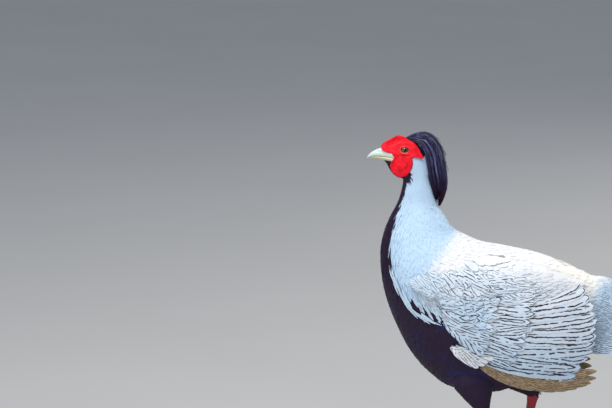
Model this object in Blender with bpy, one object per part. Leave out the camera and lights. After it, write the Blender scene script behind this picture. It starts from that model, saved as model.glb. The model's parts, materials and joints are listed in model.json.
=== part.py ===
"""A silver pheasant cock, life size, standing with its head up and its tail trailing behind.

The bird faces -X, its left side is -Y and the floor is Z = 0. Sizes are in millimetres and
every mesh is made in metres from them. The last step moves the bird so that the origin lies
on the floor under the middle of its bounding box.
"""

import math
import random

import bmesh
import bpy
import numpy as np
from mathutils import Vector
from mathutils.bvhtree import BVHTree

# Driving dimensions in millimetres
MM = 0.001
# The gap between nodes that meet, and how far a neighbour is grown before it cuts
GAP = 0.3
CLEARANCE = 0.4
LEFT = -1
RIGHT = 1
BODY_SIDES = 20
BODY_POWER = 2.25

# Each row of the trunk is a section: x and z at its breast or belly end, x and z at its back
# end, and half its width. They run from the head join down the neck and back to the tail.
TRUNK = {
    "head join": (-104, 407, -69, 407, 15),
    "upper neck": (-108, 380, -59, 376, 20),
    "middle neck": (-120, 354, -48, 358, 29),
    "lower neck": (-128, 332, -36, 340, 38),
    "neck base": (-132, 304, -17, 329, 48),
    "upper breast": (-131, 273, 4, 320, 57),
    "breast": (-124, 243, 27, 316, 62),
    "shoulders": (-111, 210, 47, 312, 65),
    "lower breast": (-92, 174, 67, 308, 67),
    "middle back": (-67, 145, 88, 302, 67),
    "belly": (-34, 124, 105, 295, 64),
    "hips": (27, 119, 121, 287, 56),
    "rump": (92, 152, 138, 277, 42),
    "tail join": (126, 171, 151, 270, 32),
    "tail root": (154, 170, 177, 271, 28),
}
NECK_CUT = 3.75
TAIL_CUT = 12.75

# The head's sections fan out from the chin, from the neck round to the bill.
SKULL = {
    "neck join": (-104, 407, -69, 407, 15),
    "throat": (-113, 412, -69.5, 418, 16.5),
    "jaw": (-120, 418, -71.5, 430, 17),
    "cheek": (-124, 425, -75.5, 444, 16.5),
    "nape": (-127.5, 431, -85, 456.5, 14.8),
    "crown": (-131.5, 434.5, -98.5, 462.5, 11.8),
    "forehead": (-134.5, 436, -113.5, 461.5, 9.1),
    "brow": (-136.5, 437, -125.5, 455.5, 7.3),
    "bill base": (-137.5, 438, -133, 450, 5.7),
}

# Bill sections: x, z at the top, z at the bottom and half the width
UPPER_BILL = {
    "root": (-116, 450, 437.6, 12.0),
    "base": (-124, 452.5, 439.6, 10.3),
    "nostril": (-134, 450.8, 440.6, 7.1),
    "middle": (-141, 448.4, 440.5, 5.1),
    "front": (-147, 444.8, 439.8, 3.6),
    "hook": (-151, 441, 438.2, 2.0),
    "tip": (-152.6, 438.4, 437.2, 0.9),
}
LOWER_BILL = {
    "root": (-116, 437.2, 430.5, 12.4),
    "base": (-124, 439.2, 432.6, 10.2),
    "middle": (-134, 440.2, 435.2, 6.4),
    "front": (-142, 440.0, 436.6, 4.1),
    "tip": (-148.3, 439.2, 437.6, 1.8),
}

# How much of its height a bill's round section goes on past the mouth line, where it is cut flat
BILL_PAST_MOUTH = 0.5
BILL_SIDES = 14

# The eyeball, and the opening between the lids as the side view shows it
EYE_CENTRE = (-102.6, 7.7, 448.1)
EYE_RADIUS = 7.4
EYE_SLIT = (5.5, 3.7)
EYE_SLIT_MIDDLE = (-102.6, 450.0)

# The nostril, an oval dent at the side of the upper bill: middle and half sizes
NOSTRIL = (-138.0, 6.0, 446.6)
NOSTRIL_SIZE = (2.4, 1.3, 1.1)

# The bare red face, as distances from the eye: angle in degrees from the back, up is
# positive, and reach
FACE_REACH = {
    "rear tip": (-25, 27.8),
    "behind the ear": (-34, 17.5),
    "ear notch": (-47, 14.0),
    "lobe back": (-66, 25.0),
    "lobe heel": (-86, 34.5),
    "lobe bottom": (-101, 37.2),
    "lobe front": (-121, 34.0),
    "chin": (-134, 27.5),
    "gape": (-144, 18.8),
    "cheek front": (-164, 18.6),
    "bill side": (-174, 27.0),
    "bill top": (178, 31.6),
    "brow front": (167, 29.2),
    "brow": (150, 23.8),
    "forehead": (132, 20.9),
    "peak": (116, 19.9),
    "crown front": (97, 16.4),
    "crown side": (72, 13.9),
    "temple": (50, 14.0),
    "upper rear": (14, 17.4),
    "rear edge": (-10, 21.6),
}

HOCK = {LEFT: (5, 43, 97), RIGHT: (78, 41, 104)}
KNEE = {LEFT: (-12, 31, 150), RIGHT: (34, 31, 152)}
FOOT = {LEFT: (-12, 45, 9), RIGHT: (62, 45, 9)}
TOE_TURN = {LEFT: 4, RIGHT: -7}

# The tail's vault: where its ridge starts, its length, how steeply it leaves and ends, the
# slope of its side at the ridge and at the lower edge, and the length of that side
TAIL_START = (128, 268)
TAIL_LENGTH = 610
TAIL_DROOP = (-1, 40)
TAIL_SLOPE = (60, 88)
TAIL_GIRTH = 104
TAIL_LENGTHS = (610, 572, 500, 425, 350, 285, 230, 185)
TAIL_SPACING = 11.5
COVERT_LENGTHS = (118, 112, 102, 92, 84)
COVERT_SPACING = 17
# How far below the ridge the first feather lies, where the roots start along the tail and
# how much nearer the body they start for each millimetre down the side
FIRST_DOWN = 12
ROOT_RUN = 31
ROOT_SLANT = 0.27
TAIL_FEATHER_WIDTH = 24
RIDGE_FEATHER_EXTRA = 4
TAIL_COVERT_WIDTH = 25
TAIL_COVERT_LIFTS = ((0.0, -2.2), (0.4, 1.3), (1.0, 2.0))
# The core that carries the feathers' roots: distance along the ridge, depth of its top and
# bottom below the ridge, and half its width
TAIL_CORE = ((76, 9, 82, 12), (115, 18, 58, 6), (135, 28, 44, 1.5))
TAIL_CORE_SIDES = 18

VANE_THICK = 0.55
# Shares of a feather's width at shares of its length
FLIGHT_SHAPE = ((0.0, 0.34), (0.22, 0.8), (0.55, 1.0), (0.88, 0.86), (1.0, 0.26))
COVERT_SHAPE = ((0.0, 0.4), (0.3, 0.92), (0.8, 0.92), (1.0, 0.26))
LOCK_SHAPE = ((0.0, 0.6), (0.25, 1.0), (0.7, 0.9), (1.0, 0.25))


def smooth(rows, place):
    """The row at a fractional place in a list of rows, on a curve through all of them."""
    rows = np.asarray(rows, float)
    last = len(rows) - 1
    start = int(min(max(math.floor(place), 0), last - 1))
    part = place - start
    before = rows[max(start - 1, 0)]
    here = rows[start]
    following = rows[start + 1]
    after = rows[min(start + 2, last)]
    return 0.5 * (
        2 * here
        + (following - before) * part
        + (2 * before - 5 * here + 4 * following - after) * part**2
        + (3 * here - before - 3 * following + after) * part**3
    )


def profile(table, key):
    """The value at key on straight runs through a table of (key, value) pairs."""
    keys = [row[0] for row in table]
    values = [row[1] for row in table]
    return float(np.interp(key, keys, values))


def unit(way):
    return np.asarray(way, float) / np.linalg.norm(way)


def section(row, sides, power=BODY_POWER, grow=0.0):
    """A closed ring round a section row (x, z, x, z, half width), grown by a distance."""
    low = np.array((row[0], 0.0, row[1]))
    high = np.array((row[2], 0.0, row[3]))
    middle = (low + high) / 2
    reach = (high - low) / 2
    reach = reach * (1 + grow / np.linalg.norm(reach))
    points = []
    for step in range(sides):
        angle = 2 * math.pi * step / sides
        up = math.copysign(abs(math.cos(angle)) ** (2 / power), math.cos(angle))
        out = math.copysign(abs(math.sin(angle)) ** (2 / power), math.sin(angle))
        points.append(middle + reach * up + np.array((0, (row[4] + grow) * out, 0)))
    return points


def tube_ring(centre, along, side, half_wide, half_deep, sides):
    """An elliptical ring square to a direction; side is the direction of its width."""
    along = np.asarray(along, float) / np.linalg.norm(along)
    side = np.asarray(side, float)
    side = side - along * side.dot(along)
    side = side / np.linalg.norm(side)
    front = np.cross(side, along)
    points = []
    for step in range(sides):
        angle = 2 * math.pi * step / sides
        points.append(
            np.asarray(centre, float)
            + side * half_wide * math.cos(angle)
            + front * half_deep * math.sin(angle)
        )
    return points


def mesh_object(name, points, faces, group):
    """A mesh object in metres, with its faces turned outwards."""
    mesh = bpy.data.meshes.new(name)
    mesh.from_pydata([Vector(point) * MM for point in points], [], faces)
    shape = bmesh.new()
    shape.from_mesh(mesh)
    bmesh.ops.recalc_face_normals(shape, faces=shape.faces)
    if shape.calc_volume(signed=True) < 0:
        bmesh.ops.reverse_faces(shape, faces=shape.faces)
    shape.to_mesh(mesh)
    shape.free()
    node = bpy.data.objects.new(name, mesh)
    group.objects.link(node)
    return node


def loft(name, rings, group):
    """A closed skin over rings of equal count, with a cap at each end."""
    sides = len(rings[0])
    points = [point for ring in rings for point in ring]
    faces = [tuple(range(sides))]
    for row in range(len(rings) - 1):
        for step in range(sides):
            near = row * sides + step
            far = row * sides + (step + 1) % sides
            faces.append((near, far, far + sides, near + sides))
    end = (len(rings) - 1) * sides
    faces.append(tuple(end + step for step in reversed(range(sides))))
    return mesh_object(name, points, faces, group)


def band(name, rings, group):
    """A closed skin over rings that come back to the first, such as a fold round an eye."""
    sides = len(rings[0])
    count = len(rings)
    points = [point for ring in rings for point in ring]
    faces = []
    for row in range(count):
        below = (row + 1) % count
        for step in range(sides):
            near = step
            far = (step + 1) % sides
            faces.append((row * sides + near, row * sides + far, below * sides + far))
            faces.append((row * sides + near, below * sides + far, below * sides + near))
    return mesh_object(name, points, faces, group)


def grown_copy(node, distance, group):
    """A copy of a node pushed out along its normals, used to cut a neighbour clear."""
    shape = bmesh.new()
    shape.from_mesh(node.data)
    shape.normal_update()
    moves = [vertex.normal * distance * MM for vertex in shape.verts]
    for vertex, move in zip(shape.verts, moves):
        vertex.co += move
    mesh = bpy.data.meshes.new(node.name + " cutter")
    shape.to_mesh(mesh)
    shape.free()
    cutter = bpy.data.objects.new(mesh.name, mesh)
    cutter.hide_render = True
    cutter.display_type = "WIRE"
    group.objects.link(cutter)
    return cutter


def applied(node):
    """Replaces a node's mesh by what its modifiers make of it."""
    graph = bpy.context.evaluated_depsgraph_get()
    mesh = bpy.data.meshes.new_from_object(node.evaluated_get(graph))
    node.modifiers.clear()
    old = node.data
    node.data = mesh
    bpy.data.meshes.remove(old)


def keep_largest(node):
    """Keeps the closed surface with the most volume, so no scrap or sealed hollow stays."""
    shape = bmesh.new()
    shape.from_mesh(node.data)
    bmesh.ops.triangulate(shape, faces=shape.faces)
    left = set(shape.faces)
    pieces = []
    while left:
        front = [left.pop()]
        piece = list(front)
        while front:
            face = front.pop()
            for edge in face.edges:
                for other in edge.link_faces:
                    if other in left:
                        left.discard(other)
                        front.append(other)
                        piece.append(other)
        volume = sum(
            face.verts[0].co.dot(face.verts[1].co.cross(face.verts[2].co)) / 6 for face in piece
        )
        pieces.append((abs(volume), piece))
    pieces.sort(key=lambda entry: entry[0])
    scraps = [face for _, piece in pieces[:-1] for face in piece]
    bmesh.ops.delete(shape, geom=scraps, context="FACES")
    shape.to_mesh(node.data)
    shape.free()


def cut_clear(node, cutters):
    """Cuts grown copies of the neighbours out of a node."""
    for cutter in cutters:
        cut = node.modifiers.new("clear", "BOOLEAN")
        cut.operation = "DIFFERENCE"
        cut.solver = "EXACT"
        cut.object = cutter
    applied(node)
    keep_largest(node)


def fuse(node, pieces, solver="EXACT"):
    """Joins a collection of closed pieces to a node with one union."""
    join = node.modifiers.new("join", "BOOLEAN")
    join.operation = "UNION"
    join.solver = solver
    join.operand_type = "COLLECTION"
    join.collection = pieces
    applied(node)
    for piece in list(pieces.objects):
        bpy.data.objects.remove(piece)
    bpy.data.collections.remove(pieces)
    keep_largest(node)


def new_group(name):
    group = bpy.data.collections.new(name)
    bpy.context.scene.collection.children.link(group)
    return group


def finish(node, colour, roughness):
    """Gives a node its own plain finish."""
    coat = bpy.data.materials.new(node.name + " finish")
    coat.use_nodes = True
    shader = coat.node_tree.nodes["Principled BSDF"]
    shader.inputs["Base Color"].default_value = (*colour, 1)
    shader.inputs["Roughness"].default_value = roughness
    node.data.materials.clear()
    node.data.materials.append(coat)


def trunk_loft(name, start, end, count, group, grow=0.0):
    rows = list(TRUNK.values())
    rings = []
    for place in np.linspace(start, end, count):
        rings.append(section(smooth(rows, place), BODY_SIDES, grow=grow))
    return loft(name, rings, group)


# Further out than any part of the bird
OUTSIDE = 400


class Side:
    """Reads how far out a node's side lies, straight out along Y."""

    def __init__(self, node):
        shape = bmesh.new()
        shape.from_mesh(node.data)
        self.tree = BVHTree.FromBMesh(shape)
        shape.free()

    def out(self, x, z):
        start = Vector((x, -OUTSIDE, z)) * MM
        hit = self.tree.ray_cast(start, Vector((0, 1, 0)))[0]
        return 0.0 if hit is None else max(-hit.y / MM, 0.0)


def vane(place, root, tip, shape, wide, lifts, group, bow=0.0, tilt=0.0):
    """One feather on a surface: place(a, b, lift) gives a point, and the feather runs from
    root to tip in the surface's own a and b. Its far edge is lifted by the tilt, so that it
    lies over its neighbour, and both faces are split into the same triangles."""
    root = np.asarray(root, float)
    tip = np.asarray(tip, float)
    run = tip - root
    across = unit((-run[1], run[0]))
    count = len(shape)
    points = []
    for share, size in shape:
        middle = root + run * share + across * bow * math.sin(math.pi * share)
        slope = run / np.linalg.norm(run) + across * bow * math.pi * math.cos(
            math.pi * share
        ) / np.linalg.norm(run)
        side = unit((-slope[1], slope[0]))
        lift = profile(lifts, share)
        half = wide * size / 2
        for edge in (-1, 1):
            spot = middle + side * half * edge
            raised = lift + tilt * edge * half * min(share * 3, 1)
            thick = VANE_THICK * (0.6 if share == 1 else 1.0)
            points.append(place(spot[0], spot[1], raised + thick / 2))
            points.append(place(spot[0], spot[1], raised - thick / 2))
    faces = [(0, 1, 3), (0, 3, 2)]
    for row in range(count - 1):
        at = row * 4
        far = at + 4
        faces.append((at, at + 2, far + 2))
        faces.append((at, far + 2, far))
        faces.append((at + 1, far + 3, at + 3))
        faces.append((at + 1, far + 1, far + 3))
        faces.append((at, far, far + 1))
        faces.append((at, far + 1, at + 1))
        faces.append((at + 2, at + 3, far + 3))
        faces.append((at + 2, far + 3, far + 2))
    end = (count - 1) * 4
    faces.append((end, end + 2, end + 3))
    faces.append((end, end + 3, end + 1))
    return mesh_object("vane", points, faces, group)


def between(low, high, share):
    return np.asarray(low, float) + (np.asarray(high, float) - np.asarray(low, float)) * share


def bent(first, middle, last, share):
    """A point on a bend from first to last that is pulled out towards middle."""
    return between(between(first, middle, share), between(middle, last, share), share)


# How far the wing's underside keeps out from the body's own surface
BED_OVER_BODY = 1.5
# The bed that a folded wing lies on: x, half width, height of its middle, reach up and down
WING_BED = (
    (-115, 42, 258, 90, 80),
    (-60, 60, 240, 100, 95),
    (0, 69, 222, 100, 106),
    (60, 70, 212, 97, 108),
    (110, 60, 204, 90, 100),
    (160, 43, 198, 74, 92),
    (190, 34, 196, 70, 88),
)


def wing_bed(torso_side, x, z):
    """How far out the folded wing's underside lies at a place seen from the side."""
    columns = list(zip(*WING_BED))
    half, middle, up, down = (float(np.interp(x, columns[0], column)) for column in columns[1:])
    reach = up if z > middle else down
    part = min(abs(z - middle) / reach, 0.98)
    bed = half * (1 - part**BODY_POWER) ** (1 / BODY_POWER)
    return max(bed, torso_side.out(x, z) + BED_OVER_BODY)


def wing_point(torso_side, side, x, z, lift):
    """A point on the wing bed's surface, lifted along its normal."""
    step = 3.0
    here = wing_bed(torso_side, x, z)
    slope_x = (wing_bed(torso_side, x + step, z) - wing_bed(torso_side, x - step, z)) / (2 * step)
    slope_z = (wing_bed(torso_side, x, z + step) - wing_bed(torso_side, x, z - step)) / (2 * step)
    slope_x = min(max(slope_x, -1.5), 1.5)
    slope_z = min(max(slope_z, -1.5), 1.5)
    normal = np.array((-slope_x, 1.0, -slope_z))
    normal = normal / np.linalg.norm(normal)
    point = np.array((x, here, z)) + normal * lift
    return np.array((point[0], side * point[1], point[2]))


# Outline of the fleshy wing under the feathers, seen from the side
WING_OUTLINE = (
    (-108, 252),
    (-86, 281),
    (-40, 298),
    (15, 296),
    (46, 284),
    (56, 240),
    (40, 196),
    (6, 178),
    (-30, 184),
    (-64, 208),
    (-92, 230),
)
WING_MIDDLE = (-20, 240)
WING_CORE_LIFT = 2.0
WING_CORE_EDGE_LIFT = 0.9
WING_CORE_DEPTH = -7.0

# Each tier of the folded wing from the back feather down to the lowest: how many feathers,
# the line of their roots, the bend of their tips, their width, how far they bow and how much
# deeper each one lies than the one above it
WING_TIERS = {
    "secondaries": (9, (26, 284), (6, 192), (150, 262), (172, 205), (126, 142), 21, 0, 0),
    "greater coverts": (7, (-30, 288), (-36, 209), (58, 274), (70, 222), (32, 166), 22, 0, 0),
    "median coverts": (6, (-62, 284), (-68, 222), (2, 284), (14, 236), (-20, 192), 20, 0, 0),
    "lesser coverts": (5, (-88, 275), (-97, 240), (-34, 290), (-32, 250), (-62, 216), 16, 0, 0),
    "primaries": (4, (10, 184), (-14, 184), (146, 140), (132, 130), (88, 126), 12, -9, 1.1),
    "alula": (2, (-44, 196), (-64, 208), (6, 172), (-8, 176), (-24, 187), 9, -2, 0),
}
COVERT_LIFTS = ((0.0, 0.4), (0.28, 3.4), (0.6, 3.9), (1.0, 6.6))
FLIGHT_LIFTS = ((0.0, 0.4), (0.22, 3.2), (1.0, 2.4))
PRIMARY_LIFTS = ((0.0, 0.4), (0.3, 1.4), (1.0, 1.0))
WING_TILT = -0.095


def wing_core(name, side, torso_side, group):
    """The fleshy wing: a shell from inside the body's side out to the feathers' roots."""
    middle = np.array(WING_MIDDLE, float)
    outline = np.array(WING_OUTLINE, float)
    levels = (
        (0.45, WING_CORE_LIFT),
        (0.82, WING_CORE_LIFT),
        (1.0, WING_CORE_EDGE_LIFT),
        (1.0, WING_CORE_DEPTH),
        (0.5, WING_CORE_DEPTH),
    )
    rings = []
    for share, lift in levels:
        spots = [middle + (spot - middle) * share for spot in outline]
        rings.append([wing_point(torso_side, side, spot[0], spot[1], lift) for spot in spots])
    sides = len(outline)
    points = [point for ring in rings for point in ring]
    faces = []
    for row in range(len(rings) - 1):
        for step in range(sides):
            near = row * sides + step
            far = row * sides + (step + 1) % sides
            faces.append((near, far, far + sides))
            faces.append((near, far + sides, near + sides))
    points.append(wing_point(torso_side, side, middle[0], middle[1], WING_CORE_LIFT))
    points.append(wing_point(torso_side, side, middle[0], middle[1], WING_CORE_DEPTH))
    top = len(points) - 2
    last = (len(rings) - 1) * sides
    for step in range(sides):
        faces.append((top, (step + 1) % sides, step))
        faces.append((top + 1, last + step, last + (step + 1) % sides))
    return mesh_object(name, points, faces, group)


def wing(side, torso_side, torso_cutter, group):
    """A folded wing: its fleshy part and tiers of feathers that lie over one another."""
    name = "left_wing" if side == LEFT else "right_wing"
    node = wing_core(name, side, torso_side, group)
    feathers = new_group(name + " feathers")
    draw = random.Random(11)

    def place(x, z, lift):
        return wing_point(torso_side, side, x, z, lift)

    for tier, row in WING_TIERS.items():
        count, root_top, root_low, tip_top, tip_bend, tip_low, wide, bow, deeper = row
        shape, lifts = {
            "secondaries": (FLIGHT_SHAPE, FLIGHT_LIFTS),
            "primaries": (FLIGHT_SHAPE, PRIMARY_LIFTS),
        }.get(tier, (COVERT_SHAPE, COVERT_LIFTS))
        for number in range(count):
            share = number / (count - 1)
            root = between(root_top, root_low, share)
            tip = bent(tip_top, tip_bend, tip_low, share)
            tip = tip + np.array((draw.uniform(-2.5, 2.5), 0))
            size = wide * draw.uniform(0.96, 1.05)
            under = [(spot, lift - deeper * number * min(spot * 4, 1)) for spot, lift in lifts]
            vane(place, root, tip, shape, size, under, feathers, bow, WING_TILT)
    fuse(node, feathers)
    cut_clear(node, [torso_cutter])
    return node


def tail_ridge(run):
    """The place and downward heading of the tail's ridge at a distance from its root."""
    steps = 40
    x, z = TAIL_START
    heading = 0.0
    for step in range(steps):
        part = (step + 0.5) / steps * run / TAIL_LENGTH
        heading = math.radians(TAIL_DROOP[0] + (TAIL_DROOP[1] - TAIL_DROOP[0]) * part)
        x += math.cos(heading) * run / steps
        z -= math.sin(heading) * run / steps
    return x, z, heading


def tail_scale(run):
    return 1 - 0.52 * max(run, 0) / TAIL_LENGTH


def tail_point(side, run, down, lift):
    """A point on the tail's vault: run along it, then down its side from the ridge."""
    x, z, heading = tail_ridge(run)
    size = tail_scale(run)
    first, last = (math.radians(slope) for slope in TAIL_SLOPE)
    turn = (last - first) / TAIL_GIRTH
    slope = first + turn * down
    out = size * (math.sin(slope) - math.sin(first)) / turn + lift * math.sin(slope)
    below = size * (math.cos(first) - math.cos(slope)) / turn - lift * math.cos(slope)
    return np.array(
        (x - math.sin(heading) * below, side * max(out, 0.5), z - math.cos(heading) * below)
    )


def tail(group):
    """The tail: the trunk's end carried on under the vault, with its feathers in pairs."""
    rows = list(TRUNK.values())
    rings = []
    for place in (TAIL_CUT + 0.02, 13.35, 14):
        rings.append(section(smooth(rows, place), TAIL_CORE_SIDES))
    for run, high, low, wide in TAIL_CORE:
        x, z, heading = tail_ridge(run)
        top = (x - math.sin(heading) * high, z - math.cos(heading) * high)
        bottom = (x - math.sin(heading) * low, z - math.cos(heading) * low)
        rings.append(section((*bottom, *top, wide), TAIL_CORE_SIDES))
    node = loft("tail", rings, group)
    feathers = new_group("tail feathers")
    draw = random.Random(5)
    for side in (LEFT, RIGHT):

        def place(run, down, lift, side=side):
            return tail_point(side, run, down, lift)

        for number, length in enumerate(TAIL_LENGTHS):
            down = FIRST_DOWN + TAIL_SPACING * number
            root = (ROOT_RUN - ROOT_SLANT * down, down)
            reach = length * draw.uniform(0.99, 1.01)
            steps = 4 + int(length / 150)
            shape = [(share, profile(FLIGHT_SHAPE, share)) for share in np.linspace(0, 0.93, steps)]
            shape.append((1.0, 0.2))
            sunk = -3.0 - 9.0 * (down / TAIL_GIRTH) ** 2
            lifts = ((0.0, sunk), (45 / length, 0.0), (1.0, 0.0))
            wide = TAIL_FEATHER_WIDTH + RIDGE_FEATHER_EXTRA * (number == 0)
            vane(place, root, (reach, down + 2), shape, wide, lifts, feathers, 0, 0.13)
        for number, length in enumerate(COVERT_LENGTHS):
            down = FIRST_DOWN + COVERT_SPACING * number
            root = (ROOT_RUN - ROOT_SLANT * down, down)
            tip = (length, down + 3)
            wide = TAIL_COVERT_WIDTH
            vane(place, root, tip, COVERT_SHAPE, wide, TAIL_COVERT_LIFTS, feathers, 0, 0.08)
    fuse(node, feathers)
    return node


# The crest's spine from the crown to its tip behind the neck: x, z, half width, half depth
CREST_SPINE = (
    (-106, 460, 4, 3.0),
    (-92, 464, 8, 6.0),
    (-76, 463, 12, 10.0),
    (-64.5, 447, 13, 12.0),
    (-60, 425, 13, 13.0),
    (-56, 403, 11, 11.0),
    (-54.5, 387, 7.5, 7.5),
    (-56, 371, 2.2, 1.8),
)
CREST_ROUND = 12.0
# How much deeper the core reaches towards the head, which then cuts it clear
CREST_FILL = 7.0
# Each layer: how many locks, how far round they reach, how deep they lie and how far back
# they start
CREST_LAYERS = ((13, 23.0, 0.0, 0.0), (8, 16.0, -4.2, 0.06))


def crest_point(run, about, lift):
    """A point on the crest: run is 0 to 1 along its spine, about is round it from its back."""
    place = min(max(run, 0), 1) * (len(CREST_SPINE) - 1)
    x, z, wide, deep = smooth(CREST_SPINE, place)
    ahead = smooth(CREST_SPINE, min(place + 0.2, len(CREST_SPINE) - 1))
    behind = smooth(CREST_SPINE, max(place - 0.2, 0))
    along = unit((ahead[0] - behind[0], ahead[1] - behind[1]))
    angle = about / CREST_ROUND
    out = (wide + lift) * math.sin(angle)
    back = (deep + lift) * math.cos(angle)
    return np.array((x - along[1] * back, out, z + along[0] * back))


def crest(cutters, group):
    """The crest: hair-like feathers in two layers, rooted along the crown and nape."""
    rings = []
    round_about = 2 * math.pi * CREST_ROUND
    for run in np.linspace(0, 0.5, 7):
        ring = []
        for about in np.linspace(0, round_about, 13)[:-1]:
            inward = max(-math.cos(about / CREST_ROUND), 0)
            lift = -1.5 - 9.0 * max(run - 0.36, 0) + CREST_FILL * inward * min(run * 5, 1)
            ring.append(crest_point(run, about, lift))
        rings.append(ring)
    node = loft("crest", rings, group)
    feathers = new_group("crest feathers")
    draw = random.Random(3)
    for count, spread, depth, later in CREST_LAYERS:
        for number in range(count):
            about = -spread + 2 * spread * number / (count - 1)
            back = 1 - abs(about) / spread
            start = 0.06 + 0.20 * (1 - back) + later
            end = 0.80 + 0.20 * back - draw.uniform(0, 0.07)
            lifts = ((0.0, depth - 2.6), (0.3, depth), (1.0, depth * 0.25))
            run_lock(start, end, about, lifts, draw, feathers)
    fuse(node, feathers)
    cut_clear(node, cutters)
    return node


def run_lock(start, end, about, lifts, draw, group):
    """One lock of the crest, drawn on its surface in a few bent steps."""
    steps = 7
    shape = [(share, profile(LOCK_SHAPE, share)) for share in np.linspace(0, 1, steps)]
    drift = about * draw.uniform(-0.12, 0.05)

    def place(run, side_way, lift):
        return crest_point(run / 100, side_way, lift)

    root = (start * 100, about)
    tip = (end * 100, about + drift)
    vane(place, root, tip, shape, 3.5, lifts, group, 0, 0.0)


def face_reach(angle):
    """How far the red face reaches from the eye in a direction, in degrees."""
    rows = sorted(FACE_REACH.values())
    first = rows[0]
    last = rows[-1]
    rows = [(last[0] - 360, last[1]), *rows, (first[0] + 360, first[1])]
    return profile(rows, angle)


def eyeball_out(x, z):
    """How far out the eyeball lies at a place seen from the side."""
    room = EYE_RADIUS**2 - (x - EYE_CENTRE[0]) ** 2 - (z - EYE_CENTRE[2]) ** 2
    return EYE_CENTRE[1] + math.sqrt(max(room, 0))


def face(side, head_side, group):
    """The bare red skin round the eye: lid, groove, folds and the lobe under the throat."""
    spokes = 22
    eye = np.array(EYE_SLIT_MIDDLE)
    levels = (
        (0.0, 0.0, 0.4),
        (1.0, 0.0, 1.2),
        (2.1, 0.0, 0.6),
        (2.1, 0.42, 1.7),
        (2.1, 0.74, 2.2),
        (2.1, 0.93, 1.7),
        (2.1, 1.0, 0.2),
        (2.1, 0.74, -3.4),
        (0.6, 0.0, -3.6),
    )
    rings = []
    for extra, share, lift in levels:
        ring = []
        for step in range(spokes):
            turn = 360 * step / spokes - 180
            angle = math.radians(turn)
            slit = 1 / math.hypot(math.cos(angle) / EYE_SLIT[0], math.sin(angle) / EYE_SLIT[1])
            inner = slit + extra
            reach = inner + (face_reach(turn) - inner) * share
            way = np.array((math.cos(angle), math.sin(angle)))
            spot = eye + way * reach
            probe = eye + way * min(reach, inner + (face_reach(turn) - inner) * 0.72)
            fold = 0.35 * math.sin(5 * angle + 7 * share) if 0.4 < share < 0.95 else 0
            skin = head_side.out(probe[0], probe[1])
            if lift > 0 and share == 0:
                skin = max(skin, eyeball_out(spot[0], spot[1]))
            out = skin + lift + fold
            ring.append(np.array((spot[0], side * out, spot[1])))
        rings.append(ring)
    return band("face", rings, group)


def head(group, helpers, beaks, eyes):
    rows = list(SKULL.values())
    rings = []
    for place in np.linspace(0, len(rows) - 1, 13):
        ring = section(smooth(rows, place), 18, power=2.15)
        rings.append(ring)
    rings[0] = [point + np.array((0, 0, GAP)) for point in rings[0]]
    node = loft("head", rings, group)
    head_side = Side(node)
    crown_cutters = [grown_copy(node, CLEARANCE, helpers)]
    pieces = new_group("face pieces")
    for side in (LEFT, RIGHT):
        crown_cutters.append(grown_copy(face(side, head_side, pieces), CLEARANCE, helpers))
    fuse(node, pieces)
    cutters = [grown_copy(piece, CLEARANCE, helpers) for piece in beaks + eyes]
    cut_clear(node, cutters)
    return node, crown_cutters


def bill(name, table, power, group, mouth_on_top=False):
    """A bill with a rounded back, and flat along the mouth line, where it is widest."""
    rings = []
    rows = list(table.values())
    for place in np.linspace(0, len(rows) - 1, 2 * len(rows) - 1):
        x, top, bottom, half = smooth(rows, place)
        past = BILL_PAST_MOUTH * (top - bottom)
        low, high = (bottom, top + past) if mouth_on_top else (bottom - past, top)
        ring = section((x, low, x, high, half), BILL_SIDES, power=power)
        for point in ring:
            point[2] = min(max(point[2], bottom), top)
        rings.append(ring)
    return loft(name, rings, group)


def nostril_cutters(helpers):
    """The egg shapes that dent the upper bill's sides."""
    cutters = []
    for side in (LEFT, RIGHT):
        egg = bmesh.new()
        bmesh.ops.create_icosphere(egg, subdivisions=1, radius=1)
        mesh = bpy.data.meshes.new("nostril cutter")
        egg.to_mesh(mesh)
        egg.free()
        for vertex in mesh.vertices:
            spot = [middle + size * way for middle, size, way in zip(NOSTRIL, NOSTRIL_SIZE, vertex.co)]
            vertex.co = Vector((spot[0], spot[1] * -side, spot[2])) * MM
        if side == LEFT:
            mesh.flip_normals()
        cutter = bpy.data.objects.new("nostril cutter", mesh)
        cutter.hide_render = True
        cutter.display_type = "WIRE"
        helpers.objects.link(cutter)
        cutters.append(cutter)
    return cutters


def eye(side, group):
    name = "left_eye" if side == LEFT else "right_eye"
    ball = bmesh.new()
    bmesh.ops.create_uvsphere(ball, u_segments=14, v_segments=8, radius=EYE_RADIUS * MM)
    mesh = bpy.data.meshes.new(name)
    ball.to_mesh(mesh)
    ball.free()
    middle = Vector((EYE_CENTRE[0], side * EYE_CENTRE[1], EYE_CENTRE[2])) * MM
    for vertex in mesh.vertices:
        vertex.co += middle
    node = bpy.data.objects.new(name, mesh)
    group.objects.link(node)
    return node


def leg_spot(places, side):
    """A named place on a leg, on the bird's left or right."""
    x, out, z = places[side]
    return np.array((x, side * out, z), float)


def hock_way(side):
    """The direction square to the face where the thigh meets the shank."""
    knee, hock, ankle = (leg_spot(places, side) for places in (KNEE, HOCK, FOOT))
    return unit(unit(hock - knee) + unit(ankle - hock))


# The feathered thigh: share of the way from knee to hock, half width and half depth
THIGH_SIZES = ((0.0, 19, 30), (0.3, 18, 27), (0.6, 14, 19), (0.85, 9.0, 11.5))
THIGH_END = (6.6, 8.0)
THIGH_SIDES = 14


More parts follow.
